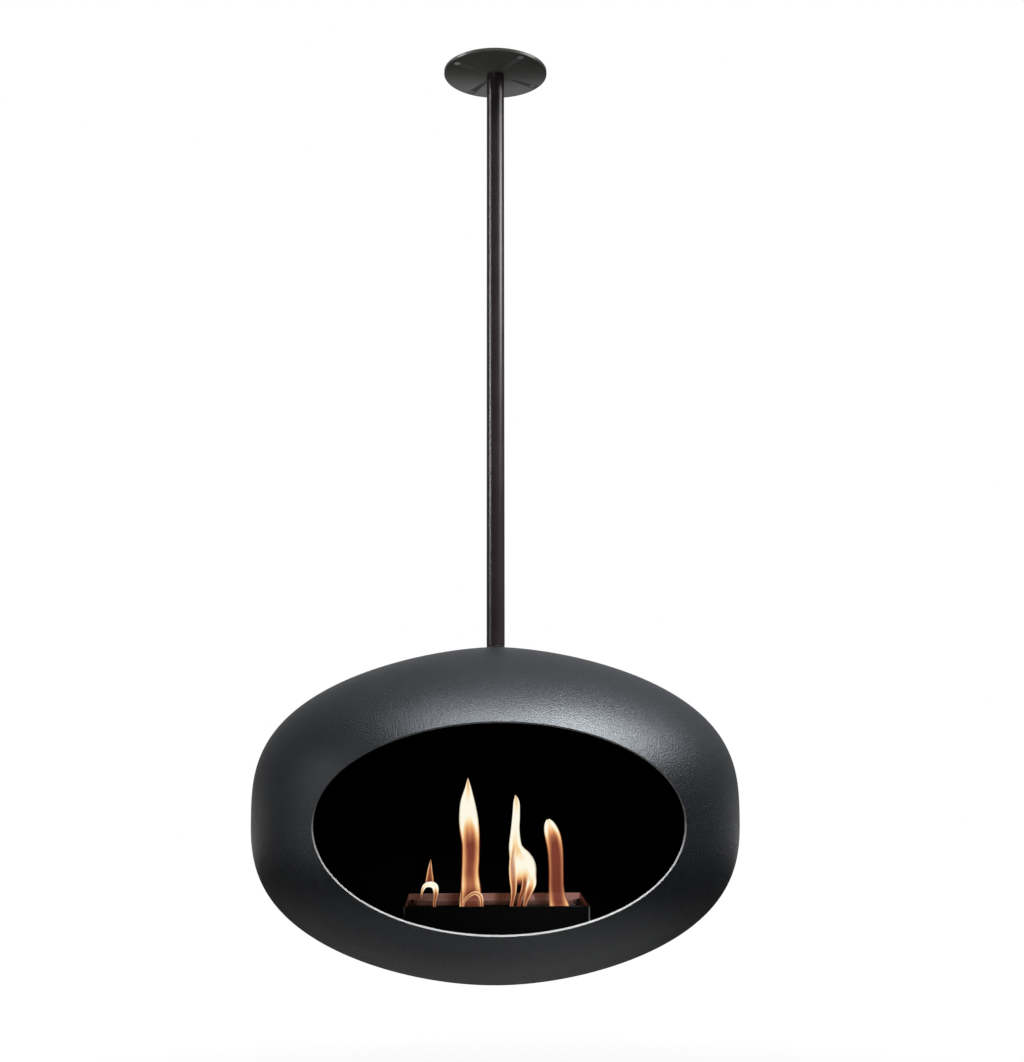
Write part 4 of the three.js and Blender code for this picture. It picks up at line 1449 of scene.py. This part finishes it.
@dataclass
class Tongue:
    """One tongue of flame, swept through its stations."""

    stations: Sequence[Station]
    depth: float = 0.6
    shift: float = 0.0
    sides: int = 28
    steps: int = 6

    @staticmethod
    def _edges(ring: Sequence[BMVert]) -> list[BMEdge]:
        """Find the edges that join a ring's own corners.

        Args:
            ring: The corners.

        Returns:
            The edges.
        """
        own = set(ring)
        linked = (edge for vert in ring for edge in vert.link_edges)
        return list({edge for edge in linked if own.issuperset(edge.verts)})

    def _blended(self) -> list[list[float]]:
        """Blend smoothly from station to station.

        Returns:
            The stations' numbers, with the blended ones between them.
        """
        rows = [station.values() for station in self.stations]
        rows = [rows[0], *rows, rows[-1]]
        blended = []
        for before, start, end, after in zip(rows, rows[1:], rows[2:], rows[3:]):
            for step in range(self.steps):
                t = step / self.steps
                blended.append(
                    [
                        0.5
                        * (
                            2 * b
                            + (c - a) * t
                            + (2 * a - 5 * b + 4 * c - d) * t**2
                            + (3 * b - a - 3 * c + d) * t**3
                        )
                        for a, b, c, d in zip(before, start, end, after)
                    ]
                )
        return [*blended, list(rows[-1])]

    def add_to(self, bm: BMesh, base: float) -> None:
        """Sweep the tongue into a mesh.

        Args:
            bm: The mesh.
            base: The Z of the slotted plate, in metres.
        """
        layers = {
            name: bm.verts.layers.float.get(name) or bm.verts.layers.float.new(name)
            for name in FLAME_LAYERS
        }
        rows = self._blended()
        turns = [math.tau * side / self.sides for side in range(self.sides)]
        ring = bmesh.ops.create_circle(bm, cap_ends=True, segments=self.sides, radius=1.0)["verts"]
        for number, (x, z, half, heat, density) in enumerate(rows):
            if number:
                fresh, _ = grown(bm, self._edges(ring))
                linked = ([edge.other_vert(vert) for edge in vert.link_edges] for vert in ring)
                ring = [next(vert for vert in verts if vert in fresh) for verts in linked]
            ahead, behind = rows[min(number + 1, len(rows) - 1)], rows[max(number - 1, 0)]
            along = Vector((ahead[0] - behind[0], ahead[1] - behind[1])).normalized()
            rise = number / (len(rows) - 1)
            for vert, turn in zip(ring, turns):
                across = max(half, 0.05) * math.cos(turn)
                deep = max(half, 0.05) * self.depth * math.sin(turn) + self.shift
                vert.co = (
                    (x + across * along.y) / 1000,
                    SLOT_Y + deep / 1000,
                    base + (z - across * along.x) / 1000,
                )
                values = (heat, density, abs(math.cos(turn)), rise)
                for layer, value in zip(layers.values(), values, strict=True):
                    vert[layer] = value
        bmesh.ops.edgeloop_fill(bm, edges=self._edges(ring))


@dataclass
class Flames:
    """The four flames over the slot."""

    base: float = -1.27138

    def shapes(self) -> dict[str, list[Tongue]]:
        """Lay out the flames.

        Returns:
            Each flame's tongues by its name.
        """
        s, t = Station, Tongue
        spike = [
            s(-95, 34, 7.5, 0, 0.0), s(-95, 42, 5.8, 0, 0.6), s(-94.8, 54, 3.6, 0.1, 0.7),
            s(-94.2, 62, 1.9, 0.2, 0.7), s(-93.8, 69, 0.2, 0.1, 0.5),
        ]
        arch = [
            s(-106.4, 14, 0.7, 0, 0.2), s(-106, 23, 1.5, 0.3, 0.7), s(-102, 32, 3.0, 0.8, 1),
            s(-94, 34.5, 4.2, 1, 1), s(-87.3, 31, 4.6, 1, 1), s(-86, 21, 3.4, 0.15, 0.75),
            s(-88, 10, 2.2, 0, 0.6), s(-88, -3, 1.6, 0, 0.4),
        ]
        tall = [
            s(-35, -3, 14.4, -0.3, 0.25), s(-35, 8, 15.2, -0.2, 0.3),
            s(-35.4, 20, 15.2, -0.1, 0.7), s(-36.4, 34, 13.8, 0.2, 1), s(-37, 51, 12.6, 0.05, 1),
            s(-36.3, 71, 12.8, 0, 1), s(-36.2, 90, 13.1, 0, 1), s(-37.2, 103, 13.9, 0.25, 1),
            s(-38.6, 116, 14.1, 0.6, 1), s(-39.8, 130, 13.4, 1, 1), s(-40.9, 150, 10.5, 1, 1),
            s(-40.3, 170, 4.6, 0.75, 1), s(-40.6, 184, 0.3, 0.4, 0.8),
        ]
        tall_leg = [
            s(-49, -3, 2.6, 0.4, 0.9), s(-49.3, 10, 2.8, 0.2, 0.7), s(-49, 28, 1.6, 0.2, 0.0),
        ]
        tall_arch = [
            s(-48.5, 0, 1.0, 0.2, 0.5), s(-43.5, 14, 1.8, 0.15, 0.8), s(-31.2, 22.6, 2.6, 0.3, 1),
            s(-22, 18, 3.0, 0.35, 1), s(-20.4, 6, 2.4, 0, 0.8), s(-20, -3, 2.0, -0.2, 0.6),
        ]
        fork = [
            s(38, 32, 17, -0.2, 0.0), s(38.4, 39, 18.4, 0.3, 0.75), s(38.6, 48, 19.6, 0.7, 1),
            s(37.7, 60, 19.3, 1, 1), s(34.5, 70, 16.4, 0.95, 1), s(30.1, 80, 11.8, 0.7, 1),
            s(27.8, 90, 9, 0.75, 1), s(27.8, 110, 6.3, 1, 1), s(29.2, 130, 5.5, 1, 1),
            s(29.7, 149.5, 4.4, 0.75, 1), s(28.1, 159.5, 0.4, 0.5, 0.8),
        ]
        left_leg = [
            s(20.3, -3, 1.6, 0.2, 0.7), s(23.2, 12, 2.6, 0, 0.75), s(25.2, 26, 4.2, 0.15, 0.9),
            s(24.5, 42, 5.6, 0.25, 0.9), s(23.6, 60, 5.2, 0.25, 0.8), s(24.4, 76, 4.2, 0.35, 0.6),
            s(26.5, 92, 2.2, 0.4, 0.0),
        ]
        right_leg = [
            s(39.6, -3, 1.6, 0, 0.55), s(42.2, 10, 2.8, 0, 0.75), s(47.0, 24, 5.4, 0.15, 0.95),
            s(50.4, 36, 7.2, 0.7, 1), s(50, 50, 7, 1, 0.0),
        ]
        inner_leg = [
            s(31, -2, 1.8, -0.3, 0.4), s(34, 12, 2.8, -0.2, 0.6), s(39, 27, 3.6, 0, 0.75),
            s(41, 40, 4.0, 0.1, 0.55), s(40, 53, 3.0, 0.3, 0.0),
        ]
        blunt = [
            s(91.5, -3, 16, 0.45, 0.8), s(90, 5, 14.6, 0.15, 0.75), s(88.2, 13, 12.8, -0.08, 0.7),
            s(86.7, 31, 11.3, -0.22, 0.62), s(86.7, 50, 11, -0.22, 0.7),
            s(86.3, 70, 11.3, -0.2, 0.85), s(85, 86, 11.7, -0.1, 1), s(82.6, 99, 11.7, 0.15, 1),
            s(79.4, 110, 10.2, 0.6, 1), s(76.8, 119, 7.0, 0.9, 1), s(75.2, 124.5, 2.8, 0.8, 0.9),
        ]
        return {
            "flame_small": [t(spike), t(arch, shift=-3)],
            "flame_tall": [t(tall), t(tall_leg, shift=-8), t(tall_arch, shift=-9)],
            "flame_forked": [
                t(fork),
                t(left_leg, shift=-9),
                t(right_leg, shift=-8),
                t(inner_leg, shift=-10),
            ],
            "flame_round": [t(blunt)],
        }

    def build(self) -> None:
        """Build the flames, which ride on the burner."""
        for name, tongues in self.shapes().items():
            blank = Blank()
            for tongue in tongues:
                tongue.add_to(blank.bm, self.base)
            bmesh.ops.recalc_face_normals(blank.bm, faces=blank.bm.faces)
            flame = blank.piece(name, Body.BURNER, FLAME, crease=80).done("burner_black")
            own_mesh(flame)


# ------------------------------------------------------------------ studio


@dataclass
class Studio:
    """The floor, the lamps, the surroundings and the camera."""

    floor_height: float = -2.3
    camera_place: Triple = (-0.04013, -2.03753, -0.99967)
    pitch: float = 0.1343
    yaw: float = 0.0317
    roll: float = -0.0021
    lens: float = 48.379

    def camera(self) -> None:
        """Set up the camera at the photograph's angle."""
        lens = bpy.data.cameras.new("camera")
        lens.sensor_fit = "HORIZONTAL"
        lens.sensor_width = 36.0
        lens.lens = self.lens
        lens.clip_end = 60.0
        made = bpy.data.objects.new("camera", lens)
        ahead = Vector(
            (
                math.sin(self.yaw) * math.cos(self.pitch),
                math.cos(self.yaw) * math.cos(self.pitch),
                math.sin(self.pitch),
            )
        )
        level = Vector((math.cos(self.yaw), -math.sin(self.yaw), 0.0))
        above = level.cross(ahead)
        right = level * math.cos(self.roll) + above * math.sin(self.roll)
        up = above * math.cos(self.roll) - level * math.sin(self.roll)
        turn = Matrix((right, up, -ahead)).transposed().to_4x4()
        made.matrix_world = Matrix.Translation(self.camera_place) @ turn
        bpy.context.scene.collection.objects.link(made)
        bpy.context.scene.camera = made

    def lamp(
        self,
        name: str,
        size: Pair,
        power: float,
        place: Triple,
        aim: Triple,
        spread: float = 180.0,
    ) -> None:
        """Hang one soft lamp.

        Args:
            name: Its name.
            size: Its width and height.
            power: Its power in watts.
            place: Where it hangs.
            aim: What it points at.
            spread: The angle in degrees that its light fills.
        """
        data = bpy.data.lights.new(name, "AREA")
        data.shape = "RECTANGLE"
        data.size, data.size_y = size
        data.energy = power
        data.spread = math.radians(spread)
        made = bpy.data.objects.new(name, data)
        made.location = place
        made.rotation_euler = (Vector(aim) - Vector(place)).to_track_quat("-Z", "Y").to_euler()
        made.visible_camera = False
        bpy.context.scene.collection.objects.link(made)

    def floor(self) -> None:
        """Lay a plain pale floor."""
        blank = Blank()
        bmesh.ops.create_grid(
            blank.bm,
            x_segments=4,
            y_segments=4,
            size=12.0,
            matrix=Matrix.Translation((0, 0, self.floor_height)),
        )
        graph = Graph(bpy.data.materials.new("pale_floor"))
        camera, mirrored = graph.paths()
        length = graph.node("ShaderNodeVectorMath", {"operation": "LENGTH"}, {0: graph.place()}, 1)
        behind = graph.node("ShaderNodeSeparateXYZ", None, {0: graph.place()}, "Y")
        seen = 0.76 + 0.22 * length.spread(3.2, 4.6)
        shine = camera * seen + mirrored * behind.spread(6.5, 8.0)
        pale = graph.mixed(graph.noise(3.0, 3.0), (0.42, 0.42, 0.42), (0.46, 0.46, 0.46))
        graph.finish(
            {
                "Base Color": pale,
                "Roughness": 0.9,
                "Emission Color": graph.mixed(shine, (0.0, 0.0, 0.0), (1.0, 1.0, 1.0)),
                "Emission Strength": 1.0,
            }
        )
        mesh = bpy.data.meshes.new("floor")
        blank.bm.to_mesh(mesh)
        blank.bm.free()
        mesh.materials.append(graph.owner)
        made = bpy.data.objects.new("floor", mesh)
        bpy.context.scene.collection.objects.link(made)

    def surroundings(self) -> None:
        """Light the space dimly, white to the camera and paler in gloss behind the object."""
        sky = Graph(bpy.data.worlds.new("surroundings"))
        bpy.context.scene.world = sky.owner
        camera, mirrored = sky.paths()
        place = sky.node("ShaderNodeTexCoord", output="Generated")
        behind = sky.node("ShaderNodeSeparateXYZ", None, {0: place}, "Y")
        dim = 0.03 + behind.spread(0.0, 0.9) * 0.18 + behind.spread(0.93, 0.99) * mirrored * 0.4
        strength = dim + (1 - dim) * camera
        white = (1.0, 1.0, 1.0, 1.0)
        glow = sky.node("ShaderNodeBackground", None, {"Color": white, "Strength": strength})
        end = sky.tree.nodes.new("ShaderNodeOutputWorld")
        sky.tree.links.new(glow.socket, end.inputs["Surface"])

    def build(self) -> None:
        """Set up the whole studio."""
        self.camera()
        self.floor()
        self.surroundings()
        self.lamp("top_right", (0.9, 0.7), 10.3, (0.65, -0.55, 0.35), (0.15, -0.3, -1.0), 74.0)
        self.lamp("top_far_right", (1.0, 0.7), 10.0, (1.65, -0.55, 0.35), (0.2, -0.3, -1.0), 90.0)
        self.lamp("top_left", (0.9, 0.7), 6.4, (-0.2, -0.55, 0.35), (-0.15, -0.3, -1.0), 80.0)
        self.lamp("strip_left", (0.25, 0.9), 2.5, (-1.5, -0.35, -1.05), (0.0, 0.0, -1.05))
        self.lamp("strip_right", (0.25, 0.9), 0.12, (1.5, -0.35, -1.05), (0.0, 0.0, -1.05))
        self.lamp("tube", (0.25, 1.3), 1.25, (-1.5, -0.35, 0.1), (0.0, 0.0, -0.25), 40.0)
        self.lamp("plate", (0.2, 0.2), 0.05, (-0.5, -1.4, -0.9), (0.0, 0.0, -0.01), 10.0)
        self.lamp("burner", (0.3, 0.3), 0.12, (0.45, -1.9, -0.5), (0.12, -0.08, -1.28), 14.0)
        bpy.context.scene.view_settings.view_transform = "Standard"


def main() -> None:
    """Build every sub-assembly in order."""
    logging.basicConfig(level=logging.INFO, format="%(message)s")
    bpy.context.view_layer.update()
    dome = Dome()
    dome.build()
    CeilingFixing().build()
    HangingTube().build()
    Swivel().build(dome)
    BurnerHousing().build()
    BurnerInsert().build()
    SlotLid().build()
    Flames().build()
    Studio().build()


if __name__ == "__main__":
    main()
